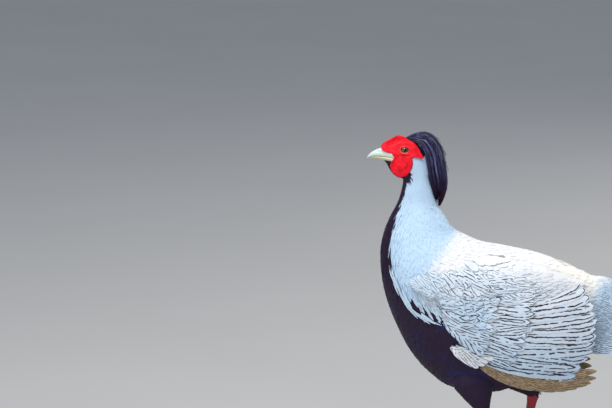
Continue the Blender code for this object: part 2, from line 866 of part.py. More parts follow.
def thigh(side, group, cutters):
    name = "left_thigh" if side == LEFT else "right_thigh"
    knee = leg_spot(KNEE, side)
    hock = leg_spot(HOCK, side)
    along = hock - knee
    rings = []
    for place, wide, deep in THIGH_SIZES:
        spot = knee + along * place
        rings.append(tube_ring(spot, along, (0, 1, 0), wide, deep, THIGH_SIDES))
    wide, deep = THIGH_END
    rings.append(tube_ring(hock, hock_way(side), (0, 1, 0), wide, deep, THIGH_SIDES))
    node = loft(name, rings, group)
    cut_clear(node, cutters)
    return node


# The shank's half size at shares of its length, how much flatter than deep it is, its
# scutes and the step from one scute to the next
SHANK_SIZES = (
    (0.0, 6.6),
    (0.07, 6.9),
    (0.16, 5.6),
    (0.35, 4.7),
    (0.7, 4.6),
    (0.9, 5.4),
    (1.0, 6.3),
)
SHANK_FLATTEN = (0.86, 1.12)
SHANK_SIDES = 10
SHANK_SCUTES = 9
SCUTE_STEP = 0.55


def shank(side, group):
    """The scaled red shank, each scute a plate that steps out over the one below."""
    name = "left_shank" if side == LEFT else "right_shank"
    hock = leg_spot(HOCK, side) + hock_way(side) * GAP
    along = leg_spot(FOOT, side) - hock
    length = np.linalg.norm(along)
    along = along / length
    rings = []
    for step in range(SHANK_SCUTES):
        for part, plate in ((0.0, SCUTE_STEP), (0.85, 0.0)):
            place = (step + part) / SHANK_SCUTES
            half = profile(SHANK_SIZES, place)
            spot = hock + along * place * (length - GAP)
            way = hock_way(side) if place == 0 else along
            wide = half * SHANK_FLATTEN[0]
            deep = half * SHANK_FLATTEN[1]
            ring = tube_ring(spot, way, (0, 1, 0), wide, deep, SHANK_SIDES)
            front = np.array((-1.0, 0, 0))
            grown = []
            for point in ring:
                out = point - spot
                share = max(out.dot(front) / np.linalg.norm(out), 0)
                grown.append(point + out / np.linalg.norm(out) * plate * share)
            rings.append(grown)
    last = profile(SHANK_SIZES, 1.0)
    spot = hock + along * (length - GAP)
    wide = last * SHANK_FLATTEN[0]
    deep = last * SHANK_FLATTEN[1]
    rings.append(tube_ring(spot, along, (0, 1, 0), wide, deep, SHANK_SIDES))
    return loft(name, rings, group)


TOES = {
    "inner": (-38, 34, 8.0),
    "middle": (0, 47, 8.6),
    "outer": (34, 36, 8.0),
    "hind": (178, 19, 6.4),
}
CLAW_LENGTH = 11
# Half widths and half depths of the ankle, the pad and the flat sole
ANKLE = (5.4, 7.0)
PAD = (7.6, 8.4)
SOLE = (6.4, 7.4)
FOOT_SIDES = 14
TOE_SCUTE_STEP = 0.5
TOE_TAPER = 0.34
CLAW_SIZES = ((0.0, 1.0), (0.35, 0.8), (0.7, 0.48), (1.0, 0.12))


def toe_path(side, name):
    """The start, direction, length and width of a toe."""
    turn, length, wide = TOES[name]
    if name != "hind":
        turn = turn * side
    angle = math.radians(180 - turn + TOE_TURN[side])
    way = np.array((math.cos(angle), math.sin(angle), 0))
    start = np.array((FOOT[side][0], side * FOOT[side][1], 0), float)
    return start, way, length, wide


def floor_ring(ring):
    return [np.array((point[0], point[1], max(point[2], 0.0))) for point in ring]


def foot(side, group):
    name = "left_foot" if side == LEFT else "right_foot"
    ankle = leg_spot(FOOT, side)
    along = unit(ankle - leg_spot(HOCK, side) - hock_way(side) * GAP)
    top = tube_ring(ankle, along, (0, 1, 0), *ANKLE, FOOT_SIDES)
    start = np.array((ankle[0], ankle[1], 0))
    pad = tube_ring(start + np.array((0, 0, 5)), (0, 0, -1), (0, 1, 0), *PAD, FOOT_SIDES)
    sole = tube_ring(start, (0, 0, -1), (0, 1, 0), *SOLE, FOOT_SIDES)
    node = loft(name, [top, pad, sole], group)
    pieces = new_group(name + " toes")
    for toe in TOES:
        start, way, length, wide = toe_path(side, toe)
        across = np.cross(way, (0, 0, 1))
        rings = []
        scutes = max(int(length / 10), 2)
        high = wide * 0.44
        lift = 5.0 if toe == "hind" else 3.2
        for step in range(scutes):
            for part, plate in ((0.0, TOE_SCUTE_STEP), (0.86, 0.0)):
                place = (step + part) / scutes
                half = wide / 2 * (1 - TOE_TAPER * place) + plate
                height = lift + (1 - place) * 1.2 if toe != "hind" else lift * (1 - place) + 3
                spot = start + way * (2 + (length - 2) * place)
                spot = spot + np.array((0, 0, min(height, high + 0.6)))
                rings.append(floor_ring(tube_ring(spot, way, across, half, high + plate, 8)))
        half = wide / 2 * (1 - TOE_TAPER)
        spot = start + way * length
        spot = spot + np.array((0, 0, 3.0))
        rings.append(floor_ring(tube_ring(spot, way, across, half, high * 0.8, 8)))
        loft(toe, rings, pieces)
    fuse(node, pieces)
    return node


def claw(side, toe, group):
    prefix = "left" if side == LEFT else "right"
    start, way, length, wide = toe_path(side, toe)
    across = np.cross(way, (0, 0, 1))
    rings = []
    for place, size in CLAW_SIZES:
        spot = start + way * (length + GAP + CLAW_LENGTH * place)
        drop = 3.0 - 2.3 * place**2
        spot = spot + np.array((0, 0, drop))
        half = wide * 0.26 * size
        rings.append(floor_ring(tube_ring(spot, way, across, half, wide * 0.3 * size, 6)))
    return loft(prefix + "_claw_" + toe, rings, group)


# The spur: how far down the shank it grows, its length, and its half width along it
SPUR_PLACE = 0.62
SPUR_LENGTH = 17
SPUR_SIZES = ((0.0, 3.4), (0.3, 3.0), (0.65, 1.9), (1.0, 0.4))


def spur(side, shank_node, group, helpers):
    name = "left_spur" if side == LEFT else "right_spur"
    hock = leg_spot(HOCK, side)
    root = hock + (leg_spot(FOOT, side) - hock) * SPUR_PLACE
    rings = []
    for place, half in SPUR_SIZES:
        out = np.array((SPUR_LENGTH * place + 2, -side * 5 * place, 3.5 * place**2))
        spot = root + out
        rings.append(tube_ring(spot, (1, -side * 0.3, 0.2), (0, 1, 0), half, half, 8))
    node = loft(name, rings, group)
    cut_clear(node, [grown_copy(shank_node, CLEARANCE, helpers)])
    return node


def move_to_floor_centre(nodes):
    """Moves every mesh so that the origin lies under the middle of the bounding box."""
    points = np.array([vertex.co for node in nodes for vertex in node.data.vertices])
    low = points.min(axis=0)
    high = points.max(axis=0)
    shift = Vector(((low[0] + high[0]) / 2, (low[1] + high[1]) / 2, low[2]))
    for node in nodes:
        for vertex in node.data.vertices:
            vertex.co -= shift


def main():
    for old in list(bpy.data.objects):
        bpy.data.objects.remove(old)
    bird = new_group("silver pheasant")
    helpers = new_group("cutters")

    neck = trunk_loft("neck", 0, NECK_CUT - 0.012, 9, bird)
    torso = trunk_loft("torso", NECK_CUT, TAIL_CUT, 19, bird)
    torso_side = Side(torso)
    torso_cutter = grown_copy(torso, CLEARANCE, helpers)

    upper = bill("upper_beak", UPPER_BILL, 2.2, bird)
    lower = bill("lower_beak", LOWER_BILL, 2.2, bird, mouth_on_top=True)
    eyes = [eye(side, bird) for side in (LEFT, RIGHT)]
    skull, crown_cutters = head(bird, helpers, [upper, lower], eyes)
    cut_clear(upper, nostril_cutters(helpers))
    plume_cutters = [*crown_cutters, grown_copy(neck, CLEARANCE, helpers)]
    plume = crest(plume_cutters, bird)

    wings = [wing(side, torso_side, torso_cutter, bird) for side in (LEFT, RIGHT)]
    trailing = tail(bird)

    legs = []
    for side, folded in zip((LEFT, RIGHT), wings):
        upper_leg = thigh(side, bird, [torso_cutter, grown_copy(folded, CLEARANCE, helpers)])
        scaled = shank(side, bird)
        sole = foot(side, bird)
        claws = [claw(side, toe, bird) for toe in TOES]
        legs.append((upper_leg, scaled, sole, claws, spur(side, scaled, bird, helpers)))

    white = (0.72, 0.78, 0.84)
    black = (0.03, 0.02, 0.05)
    red = (0.75, 0.02, 0.05)
    leg_red = (0.42, 0.03, 0.04)
    horn = (0.62, 0.60, 0.44)
    finish(neck, white, 0.8)
    finish(torso, white, 0.8)
    finish(skull, red, 0.7)
    finish(upper, (0.60, 0.66, 0.58), 0.4)
    finish(lower, horn, 0.4)
    finish(plume, black, 0.4)
    finish(trailing, white, 0.8)
    for node in eyes:
        finish(node, (0.10, 0.03, 0.01), 0.08)
    for node in wings:
        finish(node, white, 0.8)
    for upper_leg, scaled, sole, claws, horn_spur in legs:
        finish(upper_leg, black, 0.8)
        finish(scaled, leg_red, 0.5)
        finish(sole, leg_red, 0.5)
        finish(horn_spur, horn, 0.4)
        for node in claws:
            finish(node, horn, 0.4)
    move_to_floor_centre(list(bird.objects))
    for node in bird.objects:
        node.data.shade_smooth()
        node.data.set_sharp_from_angle(angle=math.radians(45))


main()
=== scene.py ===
"""A silver pheasant cock as a museum model: skin, plumage, bare parts, floor and light.

The bird faces -X and its left side is -Y. Sizes are millimetres in the bird's own frame, and
metres() turns them into places in the shared frame. Feathers are vanes that lie flat on a
sheet's own two coordinates, and a node tree bends them onto the sheet.
"""

import json
import math

import bmesh
import bpy
import numpy as np
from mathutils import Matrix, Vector
from mathutils.bvhtree import BVHTree

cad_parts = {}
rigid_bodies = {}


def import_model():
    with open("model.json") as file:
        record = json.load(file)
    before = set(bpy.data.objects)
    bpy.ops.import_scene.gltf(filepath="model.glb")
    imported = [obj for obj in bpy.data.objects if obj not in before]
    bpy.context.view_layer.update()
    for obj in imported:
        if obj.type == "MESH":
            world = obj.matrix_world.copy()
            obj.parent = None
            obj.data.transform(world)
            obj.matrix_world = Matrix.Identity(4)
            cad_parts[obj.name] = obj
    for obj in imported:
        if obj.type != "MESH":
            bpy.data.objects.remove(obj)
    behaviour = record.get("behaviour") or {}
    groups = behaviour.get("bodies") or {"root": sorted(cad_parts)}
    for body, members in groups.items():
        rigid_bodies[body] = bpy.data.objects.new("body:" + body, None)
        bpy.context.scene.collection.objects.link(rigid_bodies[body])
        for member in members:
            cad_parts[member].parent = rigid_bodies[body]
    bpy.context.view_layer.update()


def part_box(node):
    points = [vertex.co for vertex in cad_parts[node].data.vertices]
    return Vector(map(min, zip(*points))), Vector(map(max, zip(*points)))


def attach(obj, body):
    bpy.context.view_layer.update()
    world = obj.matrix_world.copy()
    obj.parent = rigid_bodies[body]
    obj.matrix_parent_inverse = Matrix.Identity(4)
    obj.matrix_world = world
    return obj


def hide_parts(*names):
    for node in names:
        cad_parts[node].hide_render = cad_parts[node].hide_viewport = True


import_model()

# Where the bird's own frame lies in the shared one
BILL_TIP_X = -152.6
MM = 0.001
torso_low, torso_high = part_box("torso")
bill_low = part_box("upper_beak")[0]
SHIFT = np.array((bill_low.x - BILL_TIP_X * MM, (torso_low.y + torso_high.y) / 2, 0.0))
LEFT = -1
RIGHT = 1
SIDES = {"left": LEFT, "right": RIGHT}

# Sections of the body from the bill to the tail: x and z at its underside, x and z at its
# back, and half its width
BODY = {
    "bill base": (-137.5, 438, -133, 450, 5.7),
    "brow": (-136.5, 437, -125.5, 455.5, 7.3),
    "forehead": (-134.5, 436, -113.5, 461.5, 9.1),
    "crown": (-131.5, 434.5, -98.5, 462.5, 11.8),
    "nape": (-127.5, 431, -85, 456.5, 14.8),
    "cheek": (-124, 425, -75.5, 444, 16.5),
    "jaw": (-120, 418, -71.5, 430, 17),
    "throat": (-113, 412, -69.5, 418, 16.5),
    "head join": (-104, 407, -69, 407, 16.8),
    "upper neck": (-108, 380, -59, 376, 20),
    "middle neck": (-120, 354, -48, 358, 29),
    "lower neck": (-128, 332, -36, 340, 38),
    "neck base": (-132, 304, -17, 329, 48),
    "upper breast": (-131, 273, 4, 320, 57),
    "breast": (-124, 243, 27, 316, 62),
    "shoulders": (-111, 210, 47, 312, 65),
    "lower breast": (-92, 174, 67, 308, 67),
    "middle back": (-67, 145, 88, 302, 67),
    "belly": (-34, 124, 105, 295, 64),
    "hips": (27, 119, 121, 287, 56),
    "rump": (92, 152, 138, 277, 42),
    "tail join": (126, 171, 151, 270, 32),
    "tail root": (154, 170, 177, 271, 28),
}

# How square the sections are: 2 is an ellipse
BODY_POWER = 2.25

# The coat goes on past the body, under the tail's vault
BEYOND = ((188, 190, 206, 262, 19), (218, 212, 232, 254, 10))

# The edge of the dark underside as the side view shows it, from the tail to the crown; dark
# lies below it and in front of it
DARK_EDGE = (
    (182, 214),
    (130, 200),
    (60, 190),
    (10, 190),
    (-20, 198),
    (-33, 216),
    (-51, 238),
    (-65, 250),
    (-78, 258),
    (-91, 263),
    (-101, 268.5),
    (-110, 276),
    (-117, 290),
    (-122.5, 309),
    (-121, 336),
    (-112.5, 362),
    (-105.5, 383),
    (-99.5, 401),
    (-96.5, 410),
    (-92.5, 419),
    (-93.5, 427),
    (-98, 433),
    (-100, 441),
    (-84, 443),
    (-60, 446),
)

# Sections of the bill: x, top, bottom and half the width
UPPER_BILL = {
    "gape": (-111.5, 443.5, 437.4, 15.4),
    "root": (-116, 448, 437.6, 14.3),
    "base": (-124, 452.5, 439.6, 11.1),
    "nostril": (-134, 450.8, 440.6, 7.1),
    "middle": (-141, 448.4, 440.5, 5.1),
    "front": (-147, 444.8, 439.8, 3.6),
    "hook": (-151, 441, 438.2, 2.0),
    "tip": (-152.6, 438.4, 437.2, 0.9),
}
LOWER_BILL = {
    "gape": (-111.5, 437.0, 432.0, 15.5),
    "root": (-116, 437.2, 431.0, 14.5),
    "base": (-124, 439.2, 432.6, 11.1),
    "middle": (-134, 440.2, 435.2, 6.4),
    "front": (-142, 440.0, 436.6, 4.1),
    "tip": (-148.3, 439.2, 437.6, 1.8),
}

# The middle of a nostril, its reach along and up, and its depth
NOSTRIL = (-138.0, 446.6)
NOSTRIL_SIZE = (2.4, 1.1)
NOSTRIL_DEPTH = 1.3

# How much of its height a bill's round section goes on past the mouth line, where it is flat,
# and how square that section is
BILL_PAST_MOUTH = 0.5
BILL_POWER = 2.2

# The eyeball, its opening in the side view, and the angles of iris and pupil in degrees
EYE_CENTRE = (-102.6, 7.7, 448.1)
EYE_RADIUS = 7.4
EYE_SLIT = (5.5, 3.7)
EYE_SLIT_MIDDLE = (-102.6, 450.0)
EYE_LEAN = 0.31
EYE_BULGE = 0.35
IRIS_ANGLE = 41
PUPIL_ANGLE = 24

# The bare face as distances from the eye: angle from the back, up is positive, and reach
FACE_REACH = {
    "rear tip": (-25, 27.8),
    "behind the ear": (-34, 17.5),
    "ear notch": (-47, 14.0),
    "lobe back": (-66, 25.0),
    "lobe heel": (-86, 34.5),
    "lobe bottom": (-101, 37.2),
    "lobe front": (-121, 34.0),
    "chin": (-134, 27.5),
    "gape": (-143, 17.2),
    "cheek front": (-164, 17.9),
    "bill side": (-174, 27.0),
    "bill top": (178, 31.6),
    "brow front": (167, 29.2),
    "brow": (150, 23.8),
    "forehead": (132, 20.9),
    "peak": (116, 19.9),
    "crown front": (97, 16.4),
    "crown side": (72, 13.9),
    "temple": (50, 14.0),
    "upper rear": (14, 17.4),
    "rear edge": (-10, 21.6),
}

# Places on each leg: x, distance from the middle and height
HOCK = {LEFT: (5, 43, 97), RIGHT: (78, 41, 104)}
KNEE = {LEFT: (-12, 31, 150), RIGHT: (34, 31, 152)}
FOOT = {LEFT: (-12, 45, 9), RIGHT: (62, 45, 9)}
TOE_TURN = {LEFT: 4, RIGHT: -7}

# Half widths along a thigh, sideways and forwards; half the width along a shank, and how that
# differs sideways and forwards
THIGH_SIZES = ((0.0, 19, 30), (0.3, 18, 27), (0.6, 14, 19), (0.85, 9.0, 11.5), (1.0, 6.6, 8.0))
SHANK_SIZES = ((0, 6.6), (0.07, 6.9), (0.16, 5.6), (0.35, 4.7), (0.7, 4.6), (0.9, 5.4), (1, 6.3))
SHANK_FLATTEN = (0.86, 1.12)

# Down the foot's root: half widths to the side and forwards, and height
ANKLE_SIZES = ((0.0, 5.0, 6.4, 15), (0.3, 5.6, 7.2, 10), (0.62, 7.6, 8.4, 5), (1.0, 6.4, 7.4, 0))

# Plates down a shank, the lengths of a toe's scutes and of a claw, and a spur's place down its
# shank, length and half widths
SHANK_PLATES = 17
TOE_SCUTE_LENGTH = 2.7
CLAW_LENGTH = 11
SPUR_PLACE = 0.62
SPUR_LENGTH = 17
SPUR_SIZES = ((0.0, 3.4), (0.3, 3.0), (0.65, 1.9), (1.0, 0.4))

# Each toe: its turn away from straight ahead, length and width
TOES = {
    "inner": (-38, 34, 8.0),
    "middle": (0, 47, 8.6),
    "outer": (34, 36, 8.0),
    "hind": (178, 19, 6.4),
}

# The tail's vault: x and z of its root, length, slopes of its ridge and of its side from first
# to last, girth of one side and the share of it that tapers away; then the plumes' lengths and
# the distance between them
TAIL_START = (128, 268)
TAIL_LENGTH = 610
TAIL_DROOP = (-1, 40)
TAIL_SLOPE = (60, 88)
TAIL_GIRTH = 104
TAIL_TAPER = 0.52
TAIL_LENGTHS = (610, 572, 500, 425, 350, 285, 230, 185)
TAIL_SPACING = 11.5

# Where the middle plume lies down the vault, where plumes start along the ridge and how that
# changes further down, and the width of the middle plume and of the others
TAIL_FIRST = 12
TAIL_ROOTS = (31, -0.27)
TAIL_WIDE = (28, 24)

# Squares in a row of the map for the tail's plumes, and how much of the map each plume takes
TAIL_SQUARES = 3
TAIL_PATCH = 0.3

# The crest: x and z along its spine, half its width and its depth, and millimetres round it for
# each radian
CREST_SPINE = (
    (-106, 460, 4, 3.0),
    (-92, 464, 8, 6.0),
    (-76, 463, 12, 10.0),
    (-64.5, 447, 13, 12.0),
    (-60, 425, 13, 13.0),
    (-56, 403, 11, 11.0),
    (-55.5, 387, 8.0, 7.5),
    (-58, 372, 3.4, 3.0),
)
CREST_ROUND = 12.0

# The bed of a folded wing: x, half width, height of its middle, reach up and reach down; and how
# far it stays outside the body
WING_BED = (
    (-115, 42, 258, 90, 80),
    (-60, 60, 240, 100, 95),
    (0, 69, 222, 100, 106),
    (60, 70, 212, 97, 108),
    (110, 60, 204, 90, 100),
    (160, 43, 198, 74, 92),
    (190, 34, 196, 70, 88),
)
BED_OVER_BODY = 1.5

# Where searches for the side of the body start
OUTSIDE_Y = -400

# The random draws of shapes and places, apart from those with a seed of their own
draw = np.random.default_rng(7)


# Numbers and curves

# Further than any distance in the bird
FAR = 1e9


def smooth(rows, place):
    """Rows at fractional places, on a curve through all of them."""
    rows = np.asarray(rows, float)
    last = len(rows) - 1
    place = np.clip(np.asarray(place, float), 0, last)
    start = np.minimum(place.astype(int), last - 1)
    part = (place - start)[..., None]
    before = rows[np.maximum(start - 1, 0)]
    here = rows[start]
    following = rows[start + 1]
    after = rows[np.minimum(start + 2, last)]
    return 0.5 * (
        2 * here
        + (following - before) * part
        + (2 * before - 5 * here + 4 * following - after) * part**2
        + (3 * here - before - 3 * following + after) * part**3
    )


def profile(table, key):
    """Values at keys on straight runs through (key, value) pairs."""
    keys, values = zip(*table)
    return np.interp(key, keys, values)


def ramp(value, low, high):
    """A soft step from 0 at low to 1 at high."""
    part = np.clip((value - low) / (high - low), 0, 1)
    return part * part * (3 - 2 * part)


def unit(way):
    way = np.asarray(way, float)
    return way / np.linalg.norm(way, axis=-1, keepdims=True)


def metres(points):
    """Places in the shared frame from the bird's own millimetres."""
    return np.asarray(points, float) * MM + SHIFT


def signed_power(value, power):
    return np.sign(value) * np.abs(value) ** power


def inside_dark(x, z):
    """How far a place in the side view lies inside the dark underside, negative outside."""
    edge = np.array(DARK_EDGE, float)
    best = np.full(np.shape(x), FAR)
    found = np.zeros(np.shape(x))
    for start, end in zip(edge[:-1], edge[1:]):
        run = end - start
        part = ((x - start[0]) * run[0] + (z - start[1]) * run[1]) / run.dot(run)
        part = np.clip(part, 0, 1)
        off_x = x - start[0] - part * run[0]
        off_z = z - start[1] - part * run[1]
        distance = np.hypot(off_x, off_z)
        sign = np.where(run[0] * off_z - run[1] * off_x > 0, 1.0, -1.0)
        found = np.where(distance < best, sign * distance, found)
        best = np.minimum(best, distance)
    return found


# Surfaces in the bird's own millimetres


def body_point(row, angle, grow=0.0):
    """The body's surface at a section row and an angle in degrees round from the back."""
    sizes = smooth([*BODY.values(), *BEYOND], row)
    zero = np.zeros_like(sizes[..., 0])
    low = np.stack((sizes[..., 0], zero, sizes[..., 1]), -1)
    high = np.stack((sizes[..., 2], zero, sizes[..., 3]), -1)
    middle = (low + high) / 2
    reach = (high - low) / 2
    span = np.linalg.norm(reach, axis=-1, keepdims=True)
    grow = np.asarray(grow, float)
    reach = reach * (1 + grow[..., None] / span)
    turn = np.radians(angle)
    up = signed_power(np.cos(turn), 2 / BODY_POWER)[..., None]
    out = signed_power(np.sin(turn), 2 / BODY_POWER) * (sizes[..., 4] + grow)
    return middle + reach * up + np.stack((zero, out, zero), -1)


def leg_spot(places, side):
    """A leg's place on one side as a point."""
    x, out, z = places[side]
    return np.array((x, side * out, z), float)


def leg_axes(along):
    """Two directions square to a leg's axis: sideways and forwards."""
    along = unit(along)
    sideways = unit(np.array((0, 1, 0)) - along * along[1])
    return sideways, np.cross(sideways, along)


def thigh_point(side, place, angle, grow=0.0):
    """A thigh's surface at a share of its length and an angle in degrees round it."""
    knee = leg_spot(KNEE, side)
    along = leg_spot(HOCK, side) - knee
    sideways, forwards = leg_axes(along)
    places, wides, deeps = zip(*THIGH_SIZES)
    wide = np.interp(place, places, wides) + grow
    deep = np.interp(place, places, deeps) + grow
    turn = np.radians(angle)
    return (
        knee
        + np.asarray(place)[..., None] * along
        + (wide * np.cos(turn))[..., None] * sideways
        + (deep * np.sin(turn))[..., None] * forwards
    )


def tail_point(side, run, down, lift=0.0):
    """The tail's vault: run along its ridge, then down its side."""
    first, last = np.radians(TAIL_DROOP)
    bend = (last - first) / TAIL_LENGTH
    heading = first + bend * run
    x = TAIL_START[0] + (np.sin(heading) - np.sin(first)) / bend
    z = TAIL_START[1] + (np.cos(heading) - np.cos(first)) / bend
    size = 1 - TAIL_TAPER * np.maximum(run, 0) / TAIL_LENGTH
    top, foot = np.radians(TAIL_SLOPE)
    turn = (foot - top) / TAIL_GIRTH
    slope = top + turn * down
    out = size * (np.sin(slope) - np.sin(top)) / turn + lift * np.sin(slope)
    below = size * (np.cos(top) - np.cos(slope)) / turn - lift * np.cos(slope)
    out = side * np.maximum(out, 0.5)
    return np.stack((x - np.sin(heading) * below, out, z - np.cos(heading) * below), -1)


def crest_point(run, about, lift=0.0):
    """The crest: run from 0 to 1 along its spine, about is round it from its back."""
    last = len(CREST_SPINE) - 1
    place = np.clip(run, 0, 1) * last
    x, z, wide, deep = np.moveaxis(smooth(CREST_SPINE, place), -1, 0)
    ahead = smooth(CREST_SPINE, np.minimum(place + 0.2, last))
    behind = smooth(CREST_SPINE, np.maximum(place - 0.2, 0))
    along = unit(ahead[..., :2] - behind[..., :2])
    angle = about / CREST_ROUND
    out = (wide + lift) * np.sin(angle)
    back = (deep + lift) * np.cos(angle)
    return np.stack((x - along[..., 1] * back, out, z + along[..., 0] * back), -1)


# Meshes


def new_group(name):
    group = bpy.data.collections.new(name)
    bpy.context.scene.collection.children.link(group)
    return group


MODEL = new_group("silver pheasant")
HELPERS = new_group("helpers")


def mesh_object(name, points, faces, group=MODEL):
    """A smooth mesh object from points in the shared frame's metres."""
    mesh = bpy.data.meshes.new(name)
    mesh.from_pydata([tuple(point) for point in points], [], faces)
    mesh.shade_smooth()
    piece = bpy.data.objects.new(name, mesh)
    group.objects.link(piece)
    return piece


def put(mesh, name, values):
    """Stores one value or vector for each vertex."""
    values = np.asarray(values, np.float32)
    wide = values.ndim == 2
    kind = "FLOAT_VECTOR" if wide else "FLOAT"
    row = mesh.attributes.new(name, kind, "POINT")
    row.data.foreach_set("vector" if wide else "value", values.ravel())


def put_map(mesh, name, places):
    """A UV map from one place for each vertex."""
    layer = mesh.uv_layers.new(name=name)
    corners = np.empty(len(mesh.loops), np.int32)
    mesh.loops.foreach_get("vertex_index", corners)
    layer.data.foreach_set("uv", np.asarray(places, np.float32)[corners].ravel())


def grid_faces(rows, columns, closed):
    """Quads over a grid of points, joined round each row where it is closed."""
    faces = []
    for row in range(rows - 1):
        for column in range(columns if closed else columns - 1):
            near = row * columns + column
            far = row * columns + (column + 1) % columns
            faces.append((near, far, far + columns, near + columns))
    return faces


def tube_faces(rows, columns):
    """Quads between rings of points and a face over each end."""
    faces = grid_faces(rows, columns, True)
    faces.append(tuple(range(columns)))
    faces.append(tuple((rows - 1) * columns + step for step in reversed(range(columns))))
    return faces


def tube(name, rings, group=MODEL):
    """A closed skin over rings of points in millimetres."""
    faces = tube_faces(*rings.shape[:2])
    piece = mesh_object(name, metres(rings.reshape(-1, 3)), faces, group)
    turn_out(piece.data)
    return piece


def mesh_volume(mesh):
    """Six times the volume that a mesh's faces enclose, negative if they face in."""
    mesh.calc_loop_triangles()
    points = np.empty(len(mesh.vertices) * 3, np.float32)
    mesh.vertices.foreach_get("co", points)
    corners = np.empty(len(mesh.loop_triangles) * 3, np.int32)
    mesh.loop_triangles.foreach_get("vertices", corners)
    points = points.reshape(-1, 3).astype(float)
    points -= points.mean(axis=0)
    first, second, third = np.moveaxis(points[corners.reshape(-1, 3)], 1, 0)
    return float(np.einsum("ij,ij->", first, np.cross(second, third)))


def turn_out(mesh):
    """Makes a closed mesh's faces look outwards."""
    if mesh_volume(mesh) < 0:
        mesh.flip_normals()


def made(piece):
    """A plain mesh object from what a piece's modifiers make, in place of the piece."""
    graph = bpy.context.evaluated_depsgraph_get()
    mesh = bpy.data.meshes.new_from_object(piece.evaluated_get(graph))
    name = piece.name
    old = piece.data
    bpy.data.objects.remove(piece)
    bpy.data.meshes.remove(old)
    mesh.name = name
    result = bpy.data.objects.new(name, mesh)
    MODEL.objects.link(result)
    return result


# Node trees


class Graph:
    """Adds nodes to a tree; a call takes sockets or plain values for a node's inputs."""

    def __init__(self, tree):
        self.tree = tree

    def feed(self, socket, value):
        if isinstance(value, bpy.types.NodeSocket):
            self.tree.links.new(value, socket)
        else:
            socket.default_value = value

    def add(self, kind, inputs=None, **settings):
        node = self.tree.nodes.new(kind)
        for key, value in settings.items():
            setattr(node, key, value)
        for key, value in (inputs or {}).items():
            self.feed(node.inputs[key], value)
        return node

    def math(self, operation, *values):
        node = self.add("ShaderNodeMath", operation=operation)
        for socket, value in zip(node.inputs, values):
            self.feed(socket, value)
        return node.outputs[0]

    def vector(self, operation, *values):
        node = self.add("ShaderNodeVectorMath", operation=operation)
        for socket, value in zip(node.inputs, values):
            self.feed(socket, value)
        return node.outputs[0]

    def combine(self, x=0.0, y=0.0, z=0.0):
        return self.add("ShaderNodeCombineXYZ", {"X": x, "Y": y, "Z": z}).outputs[0]

    def split(self, value):
        return self.add("ShaderNodeSeparateXYZ", {0: value}).outputs

    def step(self, value, low, high, start=0.0, end=1.0):
        """A soft step of a value between two others."""
        inputs = {"Value": value, "From Min": low, "From Max": high, "To Min": start, "To Max": end}
        node = self.add("ShaderNodeMapRange", inputs, interpolation_type="SMOOTHSTEP")
        return node.outputs[0]

    def blend(self, share, first, second, way="MIX"):
        """A mix of two colours."""
        node = self.add("ShaderNodeMix", data_type="RGBA", blend_type=way)
        self.feed(node.inputs[0], share)
        self.feed(node.inputs[6], first)
        self.feed(node.inputs[7], second)
        return node.outputs[2]

    def noise(self, place, scale, detail=2.0, rough=0.5):
        inputs = {"Vector": place, "Scale": scale, "Detail": detail, "Roughness": rough}
        return self.add("ShaderNodeTexNoise", inputs).outputs[0]

    def value_of(self, name):
        """A named value in a material."""
        return self.add("ShaderNodeAttribute", attribute_name=name).outputs["Fac"]

    def named(self, name, kind="FLOAT"):
        """A named value in a geometry tree."""
        node = self.add("GeometryNodeInputNamedAttribute", {"Name": name}, data_type=kind)
        return node.outputs[0]

    def chance(self, low, high, seed):
        node = self.add("FunctionNodeRandomValue", data_type="FLOAT")
        self.feed(node.inputs[2], low)
        self.feed(node.inputs[3], high)
        self.feed(node.inputs[8], seed)
        return node.outputs[1]


# Upper limits for scattering, for each square metre of the sheet
MOST_VANES = 4.0e6
MOST_GRAINS = 8.0e6

# The share of its length over which a vane rises from its root
RISE_SHARE = 0.25

COAT_INPUTS = {
    "Vane": "NodeSocketObject",
    "Sheet": "NodeSocketObject",
    "Spacing": "NodeSocketFloat",
    "Seed": "NodeSocketInt",
    "Turn": "NodeSocketFloat",
    "Spread": "NodeSocketFloat",
    "Tilt": "NodeSocketFloat",
    "Low": "NodeSocketVector",
    "High": "NodeSocketVector",
    "Patch": "NodeSocketVector",
    "Material": "NodeSocketMaterial",
}


def new_tree(name, inputs):
    """A geometry tree with named inputs, its graph and its inputs' sockets."""
    tree = bpy.data.node_groups.new(name, "GeometryNodeTree")
    tree.interface.new_socket("Geometry", in_out="INPUT", socket_type="NodeSocketGeometry")
    for label, kind in inputs.items():
        tree.interface.new_socket(label, in_out="INPUT", socket_type=kind)
    tree.interface.new_socket("Geometry", in_out="OUTPUT", socket_type="NodeSocketGeometry")
    graph = Graph(tree)
    return tree, graph, graph.add("NodeGroupInput").outputs


def end_tree(graph, geometry, material):
    """Closes a tree with its material."""
    finished = graph.add("GeometryNodeSetMaterial", {"Geometry": geometry, "Material": material})
    graph.add("NodeGroupOutput", {"Geometry": finished.outputs[0]})


